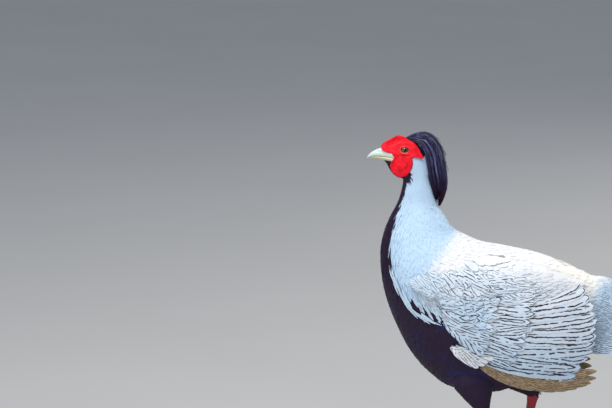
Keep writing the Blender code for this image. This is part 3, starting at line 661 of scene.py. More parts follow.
def coat_tree(scatter):
    """Lays vanes on a sheet, at given points or scattered over the sheet's own faces.

    Each point has its flat place and its vane's size, turn, lift and bow. The vanes are made
    real in flat coordinates, and then each of their points moves to the sheet's surface."""
    tree, graph, given = new_tree("vanes on a sheet", COAT_INPUTS)
    points = given["Geometry"]
    if scatter:
        inputs = {
            "Mesh": points,
            "Distance Min": given["Spacing"],
            "Density Max": MOST_VANES,
            "Density Factor": graph.named("share"),
            "Seed": given["Seed"],
        }
        kind = "GeometryNodeDistributePointsOnFaces"
        points = graph.add(kind, inputs, distribute_method="POISSON").outputs[0]
    inputs = {"Geometry": points, "Name": "seed", "Value": graph.chance(0.0, 1.0, given["Seed"])}
    kind = "GeometryNodeStoreNamedAttribute"
    points = graph.add(kind, inputs, data_type="FLOAT", domain="POINT").outputs[0]
    inputs = {"Geometry": points, "Position": graph.named("flat", "FLOAT_VECTOR")}
    points = graph.add("GeometryNodeSetPosition", inputs).outputs[0]

    low = graph.math("SUBTRACT", 1.0, given["Spread"])
    high = graph.math("ADD", 1.0, given["Spread"])
    grow = graph.chance(low, high, graph.math("ADD", given["Seed"], 1.0))
    wide = graph.math("MULTIPLY", graph.named("wide"), grow)
    tall = graph.math("MULTIPLY", graph.named("long"), grow)
    size = graph.combine(
        graph.math("DIVIDE", wide, graph.named("around")),
        graph.math("DIVIDE", tall, graph.named("along")),
        wide,
    )
    other_way = graph.math("MULTIPLY", given["Turn"], -1.0)
    jitter = graph.chance(other_way, given["Turn"], graph.math("ADD", given["Seed"], 2.0))
    turn = graph.math("ADD", graph.named("turn"), jitter)
    spin = graph.add("FunctionNodeEulerToRotation", {"Euler": graph.combine(0.0, 0.0, turn)})
    vane = graph.add("GeometryNodeObjectInfo", {"Object": given["Vane"]}).outputs["Geometry"]
    inputs = {"Points": points, "Instance": vane, "Rotation": spin.outputs[0], "Scale": size}
    vanes = graph.add("GeometryNodeInstanceOnPoints", inputs).outputs[0]
    vanes = graph.add("GeometryNodeRealizeInstances", {"Geometry": vanes}).outputs[0]

    place = graph.split(graph.add("GeometryNodeInputPosition").outputs[0])
    across, share, _ = graph.split(graph.named("Vane", "FLOAT_VECTOR"))
    root, rise, tip = graph.split(graph.named("lift", "FLOAT_VECTOR"))
    early = graph.math("MINIMUM", graph.math("MULTIPLY", share, 1 / RISE_SHARE), 1.0)
    lift = graph.math("MULTIPLY_ADD", rise, early, root)
    squared = graph.math("MULTIPLY", share, share)
    lift = graph.math("MULTIPLY_ADD", tip, squared, lift)
    lean = graph.math("MULTIPLY", graph.math("SUBTRACT", across, 0.5), given["Tilt"])
    lean = graph.math("MULTIPLY", lean, early)
    lift = graph.math("MULTIPLY_ADD", lean, graph.named("wide"), lift)
    lift = graph.math("ADD", lift, place[2])
    arch = graph.math("SINE", graph.math("MULTIPLY", share, math.pi))
    arch = graph.math("MULTIPLY", arch, graph.named("bow"))
    bearing = graph.named("turn")
    flat = graph.combine(
        graph.math("MULTIPLY_ADD", arch, graph.math("COSINE", bearing), place[0]),
        graph.math("MULTIPLY_ADD", arch, graph.math("SINE", bearing), place[1]),
    )
    flat = graph.vector("MAXIMUM", graph.vector("MINIMUM", flat, given["High"]), given["Low"])
    spot = graph.vector("SUBTRACT", flat, given["Low"])
    sheet = graph.add("GeometryNodeObjectInfo", {"Object": given["Sheet"]}).outputs["Geometry"]
    sampled = []
    for value in (
        graph.add("GeometryNodeInputPosition").outputs[0],
        graph.named("out", "FLOAT_VECTOR"),
    ):
        inputs = {
            "Mesh": sheet,
            "Value": value,
            "UV Map": graph.named("Lie", "FLOAT_VECTOR"),
            "Sample UV": spot,
        }
        kind = "GeometryNodeSampleUVSurface"
        node = graph.add(kind, inputs, data_type="FLOAT_VECTOR")
        sampled.append(node.outputs[0])
    raised = graph.add("ShaderNodeVectorMath", operation="SCALE")
    graph.feed(raised.inputs[0], sampled[1])
    graph.feed(raised.inputs["Scale"], lift)
    inputs = {"Geometry": vanes, "Position": graph.vector("ADD", sampled[0], raised.outputs[0])}
    vanes = graph.add("GeometryNodeSetPosition", inputs).outputs[0]

    middle = graph.vector("SUBTRACT", graph.named("Vane", "FLOAT_VECTOR"), (0.5, 0.5, 0.0))
    patch = graph.vector("MULTIPLY", middle, given["Patch"])
    baked = graph.vector("ADD", patch, graph.named("bake", "FLOAT_VECTOR"))
    inputs = {"Geometry": vanes, "Name": "OFBake", "Value": baked}
    kind = "GeometryNodeStoreNamedAttribute"
    vanes = graph.add(kind, inputs, data_type="FLOAT2", domain="CORNER").outputs[0]
    end_tree(graph, vanes, given["Material"])
    return tree


TREES = {False: coat_tree(False), True: coat_tree(True)}


def run_tree(piece, tree, values):
    """Gives a piece a tree with its inputs set, and makes the result plain."""
    modifier = piece.modifiers.new("rule", "NODES")
    modifier.node_group = tree
    for item in tree.interface.items_tree:
        if item.in_out == "INPUT" and item.name in values:
            modifier[item.identifier] = values[item.name]
    result = made(piece)
    turn_out(result.data)
    return result


# Sheets and vanes

# The least surface for a flat step, and the border that the coat's map leaves free
LEAST_STRETCH = 1e-3
BAKE_EDGE = 0.01

# The usual distance between a sheet's points, in millimetres
SHEET_STEP = 3.0


class Sheet:
    """A surface over a grid of flat places in metres, for feathers to lie on."""

    def __init__(self, name, across, along, points, outward):
        self.flat = np.stack(np.meshgrid(across, along), -1)
        self.low = self.flat.reshape(-1, 2).min(axis=0)
        self.high = self.flat.reshape(-1, 2).max(axis=0)
        places = metres(points)
        step_across = np.gradient(places, axis=1) / (across[1] - across[0])
        step_along = np.gradient(places, axis=0) / (along[1] - along[0])
        out = np.cross(step_across, step_along)
        out = out / np.maximum(np.linalg.norm(out, axis=-1, keepdims=True), 1e-12)
        facing = np.sign((out * outward).sum())
        faces = grid_faces(*self.flat.shape[:2], False)
        self.object = mesh_object(name, places.reshape(-1, 3), faces, HELPERS)
        mesh = self.object.data
        flat = np.zeros((len(mesh.vertices), 3))
        flat[:, :2] = self.flat.reshape(-1, 2)
        put(mesh, "flat", flat)
        put(mesh, "out", (out * facing).reshape(-1, 3))
        for key, step in (("around", step_across), ("along", step_along)):
            stretch = np.linalg.norm(step, axis=-1).ravel()
            put(mesh, key, np.maximum(stretch, LEAST_STRETCH))
        put_map(mesh, "Lie", flat[:, :2] - self.low)
        self.bake = flat.copy()
        spread = (flat[:, :2] - self.low) / (self.high - self.low)
        self.bake[:, :2] = BAKE_EDGE + (1 - 2 * BAKE_EDGE) * spread


# Places of a vane's outline: share of its length, share of its width
OUTLINES = {
    "flight": (
        (0, 0.3), (0.1, 0.55), (0.25, 0.85), (0.5, 1.0), (0.82, 0.98), (0.9, 0.88), (0.95, 0.7),
        (0.98, 0.46), (1, 0.12),
    ),
    "covert": (
        (0, 0.35), (0.15, 0.75), (0.4, 1.0), (0.75, 1.0), (0.86, 0.88), (0.93, 0.68), (0.98, 0.4),
        (1, 0.12),
    ),
    "scale": ((0, 0.4), (0.3, 0.95), (0.65, 1.0), (0.82, 0.84), (0.93, 0.55), (1, 0.12)),
    "body": ((0, 0.4), (0.3, 0.95), (0.6, 1.0), (0.8, 0.84), (0.92, 0.56), (1, 0.12)),
    "hackle": ((0, 0.5), (0.3, 1.0), (0.6, 0.85), (0.85, 0.5), (1, 0.06)),
    "hair": ((0, 0.7), (0.3, 1.0), (0.7, 0.7), (1, 0.05)),
    "plume": ((0, 0.3), (0.08, 0.7), (0.2, 0.95), (0.6, 1.0), (0.85, 0.72), (0.96, 0.4), (1, 0.08)),
}


# How much closer a vane's stations lie towards its tip, and the angle that stays sharp
TIP_CROWDING = 0.45
SHARP_ANGLE = 35


def vane(name, stations, columns, camber, thick, notch=0.0):
    """A vane that lies flat: x across from -0.5 to 0.5, y along from 0 to 1."""
    columns = np.array(columns, float)
    even = np.linspace(0, 1, stations)
    shares = even + TIP_CROWDING * (np.sin(even * math.pi / 2) - even)
    rings = []
    halves = []
    spots = []
    for share in shares:
        half = profile(OUTLINES[name], share) / 2
        cut = 1 - notch * draw.uniform(0, 1) if 0.3 < share < 0.97 else 1
        bottom = columns[1:-1][::-1]
        ring = []
        around = [(edge, False) for edge in columns] + [(edge, True) for edge in bottom]
        for edge, under in around:
            reach = half * edge * (cut if abs(edge) == 1 else 1)
            rise = camber * (1 - edge**2) - (thick if under else 0)
            ring.append((reach, share, rise))
            halves.append(half)
            spots.append((0.5 + edge / 2, share))
        rings.append(ring)
    rings = np.array(rings)
    faces = tube_faces(*rings.shape[:2])
    piece = mesh_object("vane " + name, rings.reshape(-1, 3), faces, HELPERS)
    mesh = piece.data
    turn_out(mesh)
    put(mesh, "half", halves)
    put_map(mesh, "Vane", spots)
    mesh.set_sharp_from_angle(angle=math.radians(SHARP_ANGLE))
    return piece


# Places across a vane, from one edge to the other
EDGES = (-1, 0, 1)
WIDE_EDGES = (-1, -0.55, -0.07, 0, 0.07, 0.55, 1)

# Each vane: stations, places across, camber and thickness as shares of its width, and how
# uneven its edges are
VANES = {
    "body": vane("body", 8, EDGES, 0.05, 0.02, 0.16),
    "hackle": vane("hackle", 8, EDGES, 0.05, 0.02),
    "hair": vane("hair", 9, EDGES, 0.45, 0.1),
    "scale": vane("scale", 10, (-1, -0.5, 0, 0.5, 1), 0.05, 0.02, 0.06),
    "covert": vane("covert", 14, WIDE_EDGES, 0.035, 0.02, 0.06),
    "flight": vane("flight", 20, WIDE_EDGES, 0.03, 0.02, 0.05),
    "plume": vane("plume", 41, WIDE_EDGES, 0.02, 0.02, 0.04),
}


# How much of the map a small feather takes, and of its square a large one
TUFT_PATCH = 0.003
PATCH_FILL = 0.92


def tiers_mesh(name, rows):
    """Points with the values that their vanes need, from a dictionary of lists."""
    flat = np.asarray(rows["flat"], float)
    piece = mesh_object(name, flat, [])
    for key, values in rows.items():
        put(piece.data, key, values)
    return piece


def lay(points, sheet, vane_name, material, scatter=False, **values):
    """Vanes at the points of a mesh, bent onto a sheet."""
    given = {
        "Vane": VANES[vane_name],
        "Sheet": sheet.object,
        "Spacing": 4 * MM,
        "Seed": 1,
        "Turn": 0.05,
        "Spread": 0.1,
        "Tilt": 0.0,
        "Low": (*sheet.low, -1.0),
        "High": (*sheet.high, 1.0),
        "Patch": (TUFT_PATCH, TUFT_PATCH, 0.0),
        "Material": material,
    }
    given.update(values)
    return run_tree(points, TREES[scatter], given)


def lifts(root, rise, tip):
    """A vane's lift at its root, over its first quarter and at its tip, from millimetres."""
    return np.stack(np.broadcast_arrays(root, rise, tip), -1) * MM


def add_row(table, row):
    """Adds one feather's values to lists by name."""
    for key, value in row.items():
        table[key].append(value)


def settle(piece, slot, *nodes):
    """The calls that every piece needs."""
    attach(piece, "root")
    if nodes:
        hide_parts(*nodes)
    return piece


# Materials


def new_material(name):
    material = bpy.data.materials.new(name)
    material.use_nodes = True
    graph = Graph(material.node_tree)
    return material, graph, material.node_tree.nodes["Principled BSDF"]


def bump(graph, shader, height, strength, distance):
    """Fine relief on a material, from a height and its distance in metres."""
    inputs = {"Height": height, "Strength": strength, "Distance": distance}
    graph.feed(shader.inputs["Normal"], graph.add("ShaderNodeBump", inputs).outputs[0])


# The plumage's colours
WHITE = (0.93, 0.93, 0.94, 1)
# Painted shade: the bluish white of plumage that lies in sky-lit shade
SKY_SHADE_WHITE = (0.56, 0.75, 0.93, 1)
CREAM = (0.93, 0.90, 0.80, 1)
DARK = (0.019, 0.007, 0.030, 1)
# Painted sheen: the blue that streaks over the dark plumage in place of its gloss
PAINTED_BLUE_SHEEN = (0.014, 0.015, 0.125, 1)
LINE = (0.035, 0.014, 0.028, 1)
TAN = (0.58, 0.40, 0.20, 1)
TAN_MOTTLE = (0.10, 0.055, 0.035, 1)
SHADE_BLUE = (0.36, 0.50, 0.70, 1)

# Scales of the plumage's noise, for a metre: soft shade, mottled brown, wandering of the
# lines, their swelling and their gaps, and the painted blue sheen on the dark
SOFT_SCALE = 60.0
MOTTLE_SCALE = 160.0
WAVER_SCALE = 82.0
SWELL_SCALE = 210.0
GAP_SCALE = 120.0
PAINTED_SHEEN_SCALE = 44.0

# The distance between a vane's barbs, in metres
BARB_PITCH = 2 * math.pi / 6800.0


def plumage_material(name, on_skin=False):
    """White, lined and dark plumage; the markings come from values on the mesh.

    inside is the distance into the dark underside and fringe how ragged its edge is. lines is
    how strong the dark lines are, pitch the distance between them, weight their width, margin
    how far the first is from the vane's edge, waver how far they wander, slant how much they
    lean and spray how much that varies, and stroke the share of vanes whose lines run
    straight instead of round the edge. tint paints the bluish white of sky-lit shade,
    cream makes it warmer, tan makes it brown and gloss paints a blue sheen on the dark."""
    material, graph, shader = new_material(name)
    place = graph.add("ShaderNodeTexCoord").outputs["Object"]
    tint = graph.value_of("tint")
    seed = 0.5 if on_skin else graph.value_of("seed")
    soft = graph.noise(place, SOFT_SCALE)
    # Painted shade: the white turns to the bluish white of sky-lit shade where the mesh says
    white = graph.blend(tint, WHITE, SKY_SHADE_WHITE)
    shade = graph.math("MULTIPLY", graph.math("SUBTRACT", soft, 0.5), 0.5)
    shade = graph.math("ADD", shade, graph.math("MULTIPLY_ADD", seed, -0.2, 0.14))
    shade = graph.math("MAXIMUM", shade, 0.0)
    white = graph.blend(shade, white, SHADE_BLUE)
    inside = graph.value_of("inside")
    if on_skin:
        edge = graph.math("MULTIPLY_ADD", graph.math("SUBTRACT", soft, 0.5), 0.004, inside)
        colour = graph.blend(graph.step(edge, -0.001, 0.001), white, DARK)
        graph.feed(shader.inputs["Base Color"], colour)
        graph.feed(shader.inputs["Roughness"], 0.85)
        return material
    white = graph.blend(graph.value_of("cream"), white, CREAM)
    across, share, _ = graph.split(graph.add("ShaderNodeUVMap", uv_map="Vane").outputs[0])
    wide = graph.value_of("wide")
    tall = graph.math("MULTIPLY", graph.value_of("long"), share)
    centred = graph.math("SUBTRACT", across, 0.5)
    half = graph.math("MULTIPLY", graph.value_of("half"), wide)
    off = graph.math("ABSOLUTE", graph.math("MULTIPLY", centred, 2.0))
    from_edge = graph.math("MULTIPLY", half, graph.math("SUBTRACT", 1.0, off))
    flat_place = graph.combine(
        graph.math("MULTIPLY", centred, wide), tall, graph.math("MULTIPLY", seed, 3.0)
    )
    mottle = graph.step(graph.noise(flat_place, MOTTLE_SCALE, 3.0, 0.7), 0.42, 0.62)
    tan = graph.blend(graph.math("MULTIPLY", mottle, 0.55), TAN, TAN_MOTTLE)
    white = graph.blend(graph.value_of("tan"), white, tan)
    wobble = graph.math("SUBTRACT", graph.noise(flat_place, WAVER_SCALE, 2.0, 0.6), 0.5)
    pitch = graph.value_of("pitch")
    own = graph.math("FRACT", graph.math("MULTIPLY", seed, 13.7))
    straight = graph.math("LESS_THAN", own, graph.value_of("stroke"))
    over = graph.math("MULTIPLY", centred, wide)
    straight_over = graph.math("MULTIPLY", straight, over)
    start = graph.math("SUBTRACT", 1.0, straight)
    start = graph.math("MULTIPLY_ADD", start, from_edge, straight_over)
    offset = graph.math("MULTIPLY_ADD", wobble, graph.value_of("waver"), start)
    own = graph.math("SUBTRACT", graph.math("FRACT", graph.math("MULTIPLY", seed, 7.31)), 0.5)
    slant = graph.math("MULTIPLY_ADD", own, graph.value_of("spray"), graph.value_of("slant"))
    offset = graph.math("MULTIPLY_ADD", tall, slant, offset)
    offset = graph.math("SUBTRACT", offset, graph.value_of("margin"))
    phase = graph.math("DIVIDE", offset, pitch)
    near = graph.math("PINGPONG", phase, 0.5)
    weight = graph.math("DIVIDE", graph.value_of("weight"), pitch)
    swell = graph.math("MULTIPLY_ADD", graph.noise(flat_place, SWELL_SCALE, 1.0), 0.9, 0.05)
    weight = graph.math("MULTIPLY", weight, swell)
    line = graph.math("SUBTRACT", 1.0, graph.step(near, weight, graph.math("ADD", weight, 0.06)))
    kept = graph.step(graph.noise(flat_place, GAP_SCALE, 1.0), 0.33, 0.42)
    line = graph.math("MULTIPLY", graph.math("MULTIPLY", line, kept), graph.value_of("lines"))
    white = graph.blend(line, white, LINE)
    # Painted sheen: blue streaks over the dark, per feather and towards each vane's tip
    drawn = graph.vector("MULTIPLY", place, (0.4, 1.0, 0.7))
    painted_sheen_patches = graph.step(graph.noise(drawn, PAINTED_SHEEN_SCALE, 3.0), 0.50, 0.76)
    painted_sheen_patches = graph.math("MULTIPLY", painted_sheen_patches, graph.step(seed, -0.4, 0.9))
    painted_sheen_patches = graph.math("MULTIPLY", painted_sheen_patches, graph.step(share, 0.0, 0.9))
    dark = graph.blend(graph.math("MULTIPLY", painted_sheen_patches, graph.value_of("gloss")), DARK, PAINTED_BLUE_SHEEN)
    ragged = graph.math("MULTIPLY", graph.math("SUBTRACT", seed, 0.5), graph.value_of("fringe"))
    edge = graph.math("ADD", ragged, inside)
    colour = graph.blend(graph.step(edge, -0.0004, 0.0004), white, dark)
    barb = graph.math("MULTIPLY_ADD", graph.math("MULTIPLY", off, half), 1.3, tall)
    barb = graph.math("SINE", graph.math("MULTIPLY", barb, 2 * math.pi / BARB_PITCH))
    fine = graph.math("MULTIPLY_ADD", barb, 0.05, 0.95)
    colour = graph.blend(1.0, colour, graph.combine(fine, fine, fine), "MULTIPLY")
    graph.feed(shader.inputs["Base Color"], colour)
    graph.feed(shader.inputs["Roughness"], 0.6)
    graph.feed(shader.inputs["Specular IOR Level"], 0.3)
    bump(graph, shader, barb, 0.12, 0.0002)
    return material


CREST_BLACK = (0.012, 0.008, 0.028, 1)
CREST_BLUE = (0.052, 0.045, 0.15, 1)
CREST_PAINTED_SHINE = (0.25, 0.27, 0.46, 1)
CREST_BROWN = (0.045, 0.018, 0.045, 1)


def crest_material():
    """Blue-black hair-like feathers, a few of them pale as a painted highlight, and browner at the
    crest's low end.
    """
    material, graph, shader = new_material("crest feathers")
    seed = graph.value_of("seed")
    place = graph.add("ShaderNodeTexCoord").outputs["Object"]
    dark = graph.blend(graph.step(seed, 0.3, 0.9), CREST_BLACK, CREST_BLUE)
    # Painted highlight: a few strands are pale as if caught by the light
    pale = graph.blend(graph.step(seed, 0.86, 0.96), dark, CREST_PAINTED_SHINE)
    low_end = graph.step(graph.split(place)[2], 0.425, 0.375)
    graph.feed(shader.inputs["Base Color"], graph.blend(low_end, pale, CREST_BROWN))
    graph.feed(shader.inputs["Roughness"], 0.38)
    return material


def face_material():
    """Velvety red skin; fold paints shade into the crease under the eye and along the lid's
    inner margin, and rim makes the lid's edge paler.
    """
    material, graph, shader = new_material("bare red face")
    place = graph.add("ShaderNodeTexCoord").outputs["Object"]
    broad = graph.noise(place, 150.0, 3.0)
    grain = graph.noise(place, 900.0, 2.0)
    deep = graph.step(broad, 0.36, 0.6)
    red = graph.blend(deep, (0.74, 0.001, 0.014, 1), (1.0, 0.006, 0.022, 1))
    # Painted shade: darker red in the crease under the eye and at the lid's inner margin
    red = graph.blend(graph.value_of("fold"), red, (0.16, 0.0, 0.008, 1))
    red = graph.blend(graph.value_of("rim"), red, (0.85, 0.30, 0.12, 1))
    graph.feed(shader.inputs["Base Color"], red)
    graph.feed(shader.inputs["Roughness"], 0.55)
    graph.feed(shader.inputs["Specular IOR Level"], 0.25)
    graph.feed(shader.inputs["Subsurface Weight"], 0.12)
    graph.feed(shader.inputs["Subsurface Scale"], 0.002)
    bump(graph, shader, grain, 0.5, 0.0005)
    return material


def horn_material(name, pale, deep, low, high, rough):
    """Horn that changes colour between two heights and is faintly streaked."""
    material, graph, shader = new_material(name)
    place = graph.add("ShaderNodeTexCoord").outputs["Object"]
    streak = graph.add("ShaderNodeMapping", {"Vector": place, "Scale": (0.25, 1.0, 1.6)})
    grain = graph.noise(streak.outputs[0], 420.0, 3.0)
    share = graph.step(graph.split(place)[2], low, high)
    colour = graph.blend(share, deep, pale)
    colour = graph.blend(graph.step(grain, 0.35, 0.8, 0.0, 0.35), colour, deep)
    graph.feed(shader.inputs["Base Color"], colour)
    graph.feed(shader.inputs["Roughness"], rough)
    bump(graph, shader, grain, 0.08, 0.0003)
    return material


def eye_material():
    """A wet eye; gaze is the angle from the middle of the pupil."""
    material, graph, shader = new_material("eye")
    place = graph.add("ShaderNodeTexCoord").outputs["Object"]
    angle = graph.value_of("gaze")
    fleck = graph.noise(place, 1400.0, 2.0)
    iris = graph.blend(fleck, (0.10, 0.020, 0.005, 1), (0.34, 0.085, 0.018, 1))
    iris = graph.blend(graph.step(angle, IRIS_ANGLE - 8, IRIS_ANGLE), iris, (0.03, 0.008, 0.005, 1))
    pupil = graph.step(angle, PUPIL_ANGLE, PUPIL_ANGLE + 2)
    colour = graph.blend(pupil, (0.002, 0.002, 0.003, 1), iris)
    graph.feed(shader.inputs["Base Color"], colour)
    graph.feed(shader.inputs["Roughness"], 0.05)
    graph.feed(shader.inputs["Coat Weight"], 0.35)
    graph.feed(shader.inputs["Coat Roughness"], 0.02)
    return material


def leg_material():
    """Red horny skin; groove darkens the gaps between its plates."""
    material, graph, shader = new_material("scaled red leg")
    place = graph.add("ShaderNodeTexCoord").outputs["Object"]
    cells = graph.add("ShaderNodeTexVoronoi", {"Vector": place, "Scale": 520.0})
    grain = graph.noise(place, 300.0)
    red = graph.blend(grain, (0.30, 0.008, 0.012, 1), (0.50, 0.022, 0.030, 1))
    red = graph.blend(graph.value_of("groove"), red, (0.10, 0.004, 0.006, 1))
    graph.feed(shader.inputs["Base Color"], red)
    graph.feed(shader.inputs["Roughness"], 0.42)
    bump(graph, shader, cells.outputs["Distance"], 0.25, 0.0004)
    return material


def floor_material():
    material, graph, shader = new_material("floor")
    place = graph.add("ShaderNodeTexCoord").outputs["Object"]
    tone = graph.noise(place, 3.0, 4.0)
    colour = graph.blend(tone, (0.46, 0.455, 0.44, 1), (0.50, 0.495, 0.485, 1))
    graph.feed(shader.inputs["Base Color"], colour)
    graph.feed(shader.inputs["Roughness"], 0.8)
    return material


PLUMAGE = plumage_material("plumage")
SKIN = plumage_material("feathered skin", on_skin=True)
CREST = crest_material()
FACE = face_material()

# Each horn: pale and deep colour, the heights in metres between which it changes, roughness
UPPER_HORN = horn_material(
    "upper bill", (0.66, 0.80, 0.76, 1), (0.56, 0.68, 0.58, 1), 0.4405, 0.4475, 0.3
)
LOWER_HORN = horn_material(
    "lower bill", (0.74, 0.68, 0.40, 1), (0.60, 0.56, 0.36, 1), 0.433, 0.439, 0.34
)
CLAW_HORN = horn_material(
    "claws and spurs", (0.50, 0.44, 0.34, 1), (0.30, 0.24, 0.18, 1), 0.0, 0.006, 0.4
)
EYE = eye_material()
LEG = leg_material()


# The body and its coat

# Flat metres for each degree round the body and for each of its rows
FLAT_DEGREE = 0.001
FLAT_ROW = 0.03
body_across = np.arange(-196, 197, 4) * FLAT_DEGREE
body_along = np.linspace(0, len(BODY) - 1 + len(BEYOND), 241) * FLAT_ROW
angles, rows = np.meshgrid(body_across / FLAT_DEGREE, body_along / FLAT_ROW)
body_points = body_point(rows, angles, np.zeros_like(rows))
body_centre = body_point(rows, np.full_like(rows, 90.0), np.zeros_like(rows))
body_centre[..., 1] = 0
BODY_SHEET = Sheet("body sheet", body_across, body_along, body_points, body_points - body_centre)

# Where the neck's painted bluish sky shade meets the white back in the side view: height and x
SKY_SHADE_EDGE = ((262, -98), (270, -95), (285, -86), (311, -78), (344, -50), (352, -30), (360, 20))

# Over the rows: how far the dark's edge is moved, the width and length of the feathers, and
# how ragged the dark's edge is
DARK_SHIFT = ((6, -3.0), (8, -2.5), (8.7, 2.0), (11.5, 2.5), (14, 0))
FEATHER_WIDE = (
    (0, 1.9), (6, 2.3), (8, 2.8), (10, 3.6), (12, 5.5), (14, 8.5), (17, 11), (22, 12), (24, 10)
)
FEATHER_LONG = (
    (0, 5), (6, 6.5), (8, 9), (10, 15), (12, 20), (14, 23), (17, 26), (22, 34), (24, 44)
)
FRINGE = ((8, 1.6), (12, 2.6), (13.5, 6.0), (16, 6.0), (18, 4.0))

# How many degrees down from the back the rump's own coat hides the body's, over the rows
UNDER_RUMP = ((19.2, 93), (20.6, 118))

# Above this height the dark's edge stays where it is, and from this row all is dark
SHIFT_TOP = 430
ALL_DARK_ROW = 21.7
DEEP_INSIDE = 20.0


def body_values():
    """The size, lie and markings of the feathers over the whole body sheet."""
    x, z = body_points[..., 0], body_points[..., 2]
    inside = inside_dark(x, z) + profile(DARK_SHIFT, rows) * (z < SHIFT_TOP)
    inside = np.where(rows > ALL_DARK_ROW, DEEP_INSIDE, inside)
    wide = profile(FEATHER_WIDE, rows)
    tall = profile(FEATHER_LONG, rows)
    hackle = ramp(-abs(inside), -14, -3) * ramp(rows, 8.6, 10) * ramp(-rows, -17, -15)
    wide = wide * (1 - 0.5 * hackle)
    tall = tall * (1 + 0.5 * hackle)
    turned = abs(angles)
    above = inside < -2
    lines = ramp(turned, 16, 55) * ramp(rows, 12.4, 14.8) * above
    # Painted shade: bluish sky shade on the neck's front and the low sides, less on the back's top
    tint = 1 - ramp(x - profile(SKY_SHADE_EDGE, z), -8, 16)
    tint = np.maximum(tint, 0.85 * ramp(-z, -282, -262))
    tint = tint * (1 - 0.75 * ramp(rows, 13, 16) * (1 - ramp(turned, 60, 95)))
    creamy = ramp(x, 30, 105) * (1 - ramp(turned, 75, 95))
    tint = tint * (1 - creamy)
    under_wing = (z < 278) & (x > -66) & (x < 150) & (inside < 0)
    under_rump = (rows > UNDER_RUMP[0][0]) & (turned < profile(UNDER_RUMP, rows))
    share = np.where(turned <= 180, 1.0, 0.0)
    share = np.where(under_wing, 0.3, share)
    share = np.where(under_rump, 0.0, share)
    level = ramp(turned, 20, 60) * ramp(rows, 12.5, 14.5) * above
    throat = ramp(turned, 110, 150) * ramp(rows, 7.4, 9) * (1 - ramp(rows, 10.5, 12.5))
    rise = 0.055 * tall + 2.0 * throat
    return {
        "wide": wide * MM,
        "long": tall * MM,
        "lines": lines * 0.85,
        "pitch": np.interp(rows, (12, 22), (2.7, 3.3)) * MM,
        "weight": 0.75 * MM,
        "tint": tint,
        "cream": creamy * 0.8,
        # painted blue sheen over the dark, from the breast back
        "gloss": ramp(rows, 11, 13.5),
        "inside": inside * MM,
        "fringe": profile(FRINGE, rows) * MM,
        "tan": 0,
        "turn": np.sign(angles) * 0.15 * level,
        "bow": 0,
        "slant": 0.25,
        "spray": 1.0,
        "stroke": 0.5,
        "waver": 2.6 * MM,
        "margin": 1.0 * MM,
        "share": share,
        "lift": lifts(-0.5 - 0.04 * tall, rise, 0.06 * tall),
    }


BODY_VALUES = body_values()

# Each zone of the coat: first and last row, distance between roots, vane and slot; and how far
# each thins out past its first and last row
ZONES = {
    "head_coat": (0.6, 8.2, 1.3, "hackle", "white_plumage"),
    "neck_coat": (8.2, 12.2, 2.3, "hackle", "white_plumage"),
    "breast_coat": (12.2, 16.3, 3.6, "body", "white_plumage"),
    "rear_coat": (16.3, 23.3, 4.3, "body", "dark_plumage"),
}
ZONE_OVERLAP = 0.35


def face_reach(angle):
    """How far the bare face reaches from the eye, at angles in degrees."""
    table = sorted(FACE_REACH.values())
    first = table[0]
    last = table[-1]
    table = [(last[0] - 360, last[1]), *table, (first[0] + 360, first[1])]
    return profile(table, angle)


def face_cover():
    """Where the bare face and the bill cover the head, so that no feather grows there."""
    x, z = body_points[..., 0], body_points[..., 2]
    off_x = x - EYE_SLIT_MIDDLE[0]
    off_z = z - EYE_SLIT_MIDDLE[1]
    reach = face_reach(np.degrees(np.arctan2(off_z, off_x)))
    by_bill = (x < -113) & (z > 433 + (x + 113) * -0.22) & (z < 470)
    return (np.hypot(off_x, off_z) < reach - 2.5) | by_bill


def stored(piece, values, share):
    """Puts a sheet's values on a piece's points, with how densely feathers grow there.

    A value is a grid or one number for the whole sheet."""
    for key, value in {**values, "share": share}.items():
        width = (3,) if key == "lift" else ()
        grid = np.broadcast_to(np.asarray(value, float), share.shape + width)
        put(piece.data, key, grid.reshape(-1, *width))


def sheet_copy(sheet, name):
    piece = sheet.object.copy()
    piece.data = sheet.object.data.copy()
    piece.name = name
    MODEL.objects.link(piece)
    put(piece.data, "bake", sheet.bake)
    return piece


def body_coat():
    """The feathers of head, neck, breast and underside, zone by zone."""
    covered = face_cover()
    for number, (name, zone) in enumerate(ZONES.items()):
        first, last, spacing, kind, slot = zone
        points = sheet_copy(BODY_SHEET, name)
        begun = ramp(rows, first - ZONE_OVERLAP, first + ZONE_OVERLAP)
        ended = ramp(rows, last - ZONE_OVERLAP, last + ZONE_OVERLAP)
        share = begun * (1 - ended)
        stored(points, BODY_VALUES, BODY_VALUES["share"] * share * ~covered)
        coat = lay(
            points, BODY_SHEET, kind, PLUMAGE, scatter=True, Spacing=spacing * MM,
            Seed=11 + number, Turn=0.12, Spread=0.2,
        )
        settle(coat, slot)


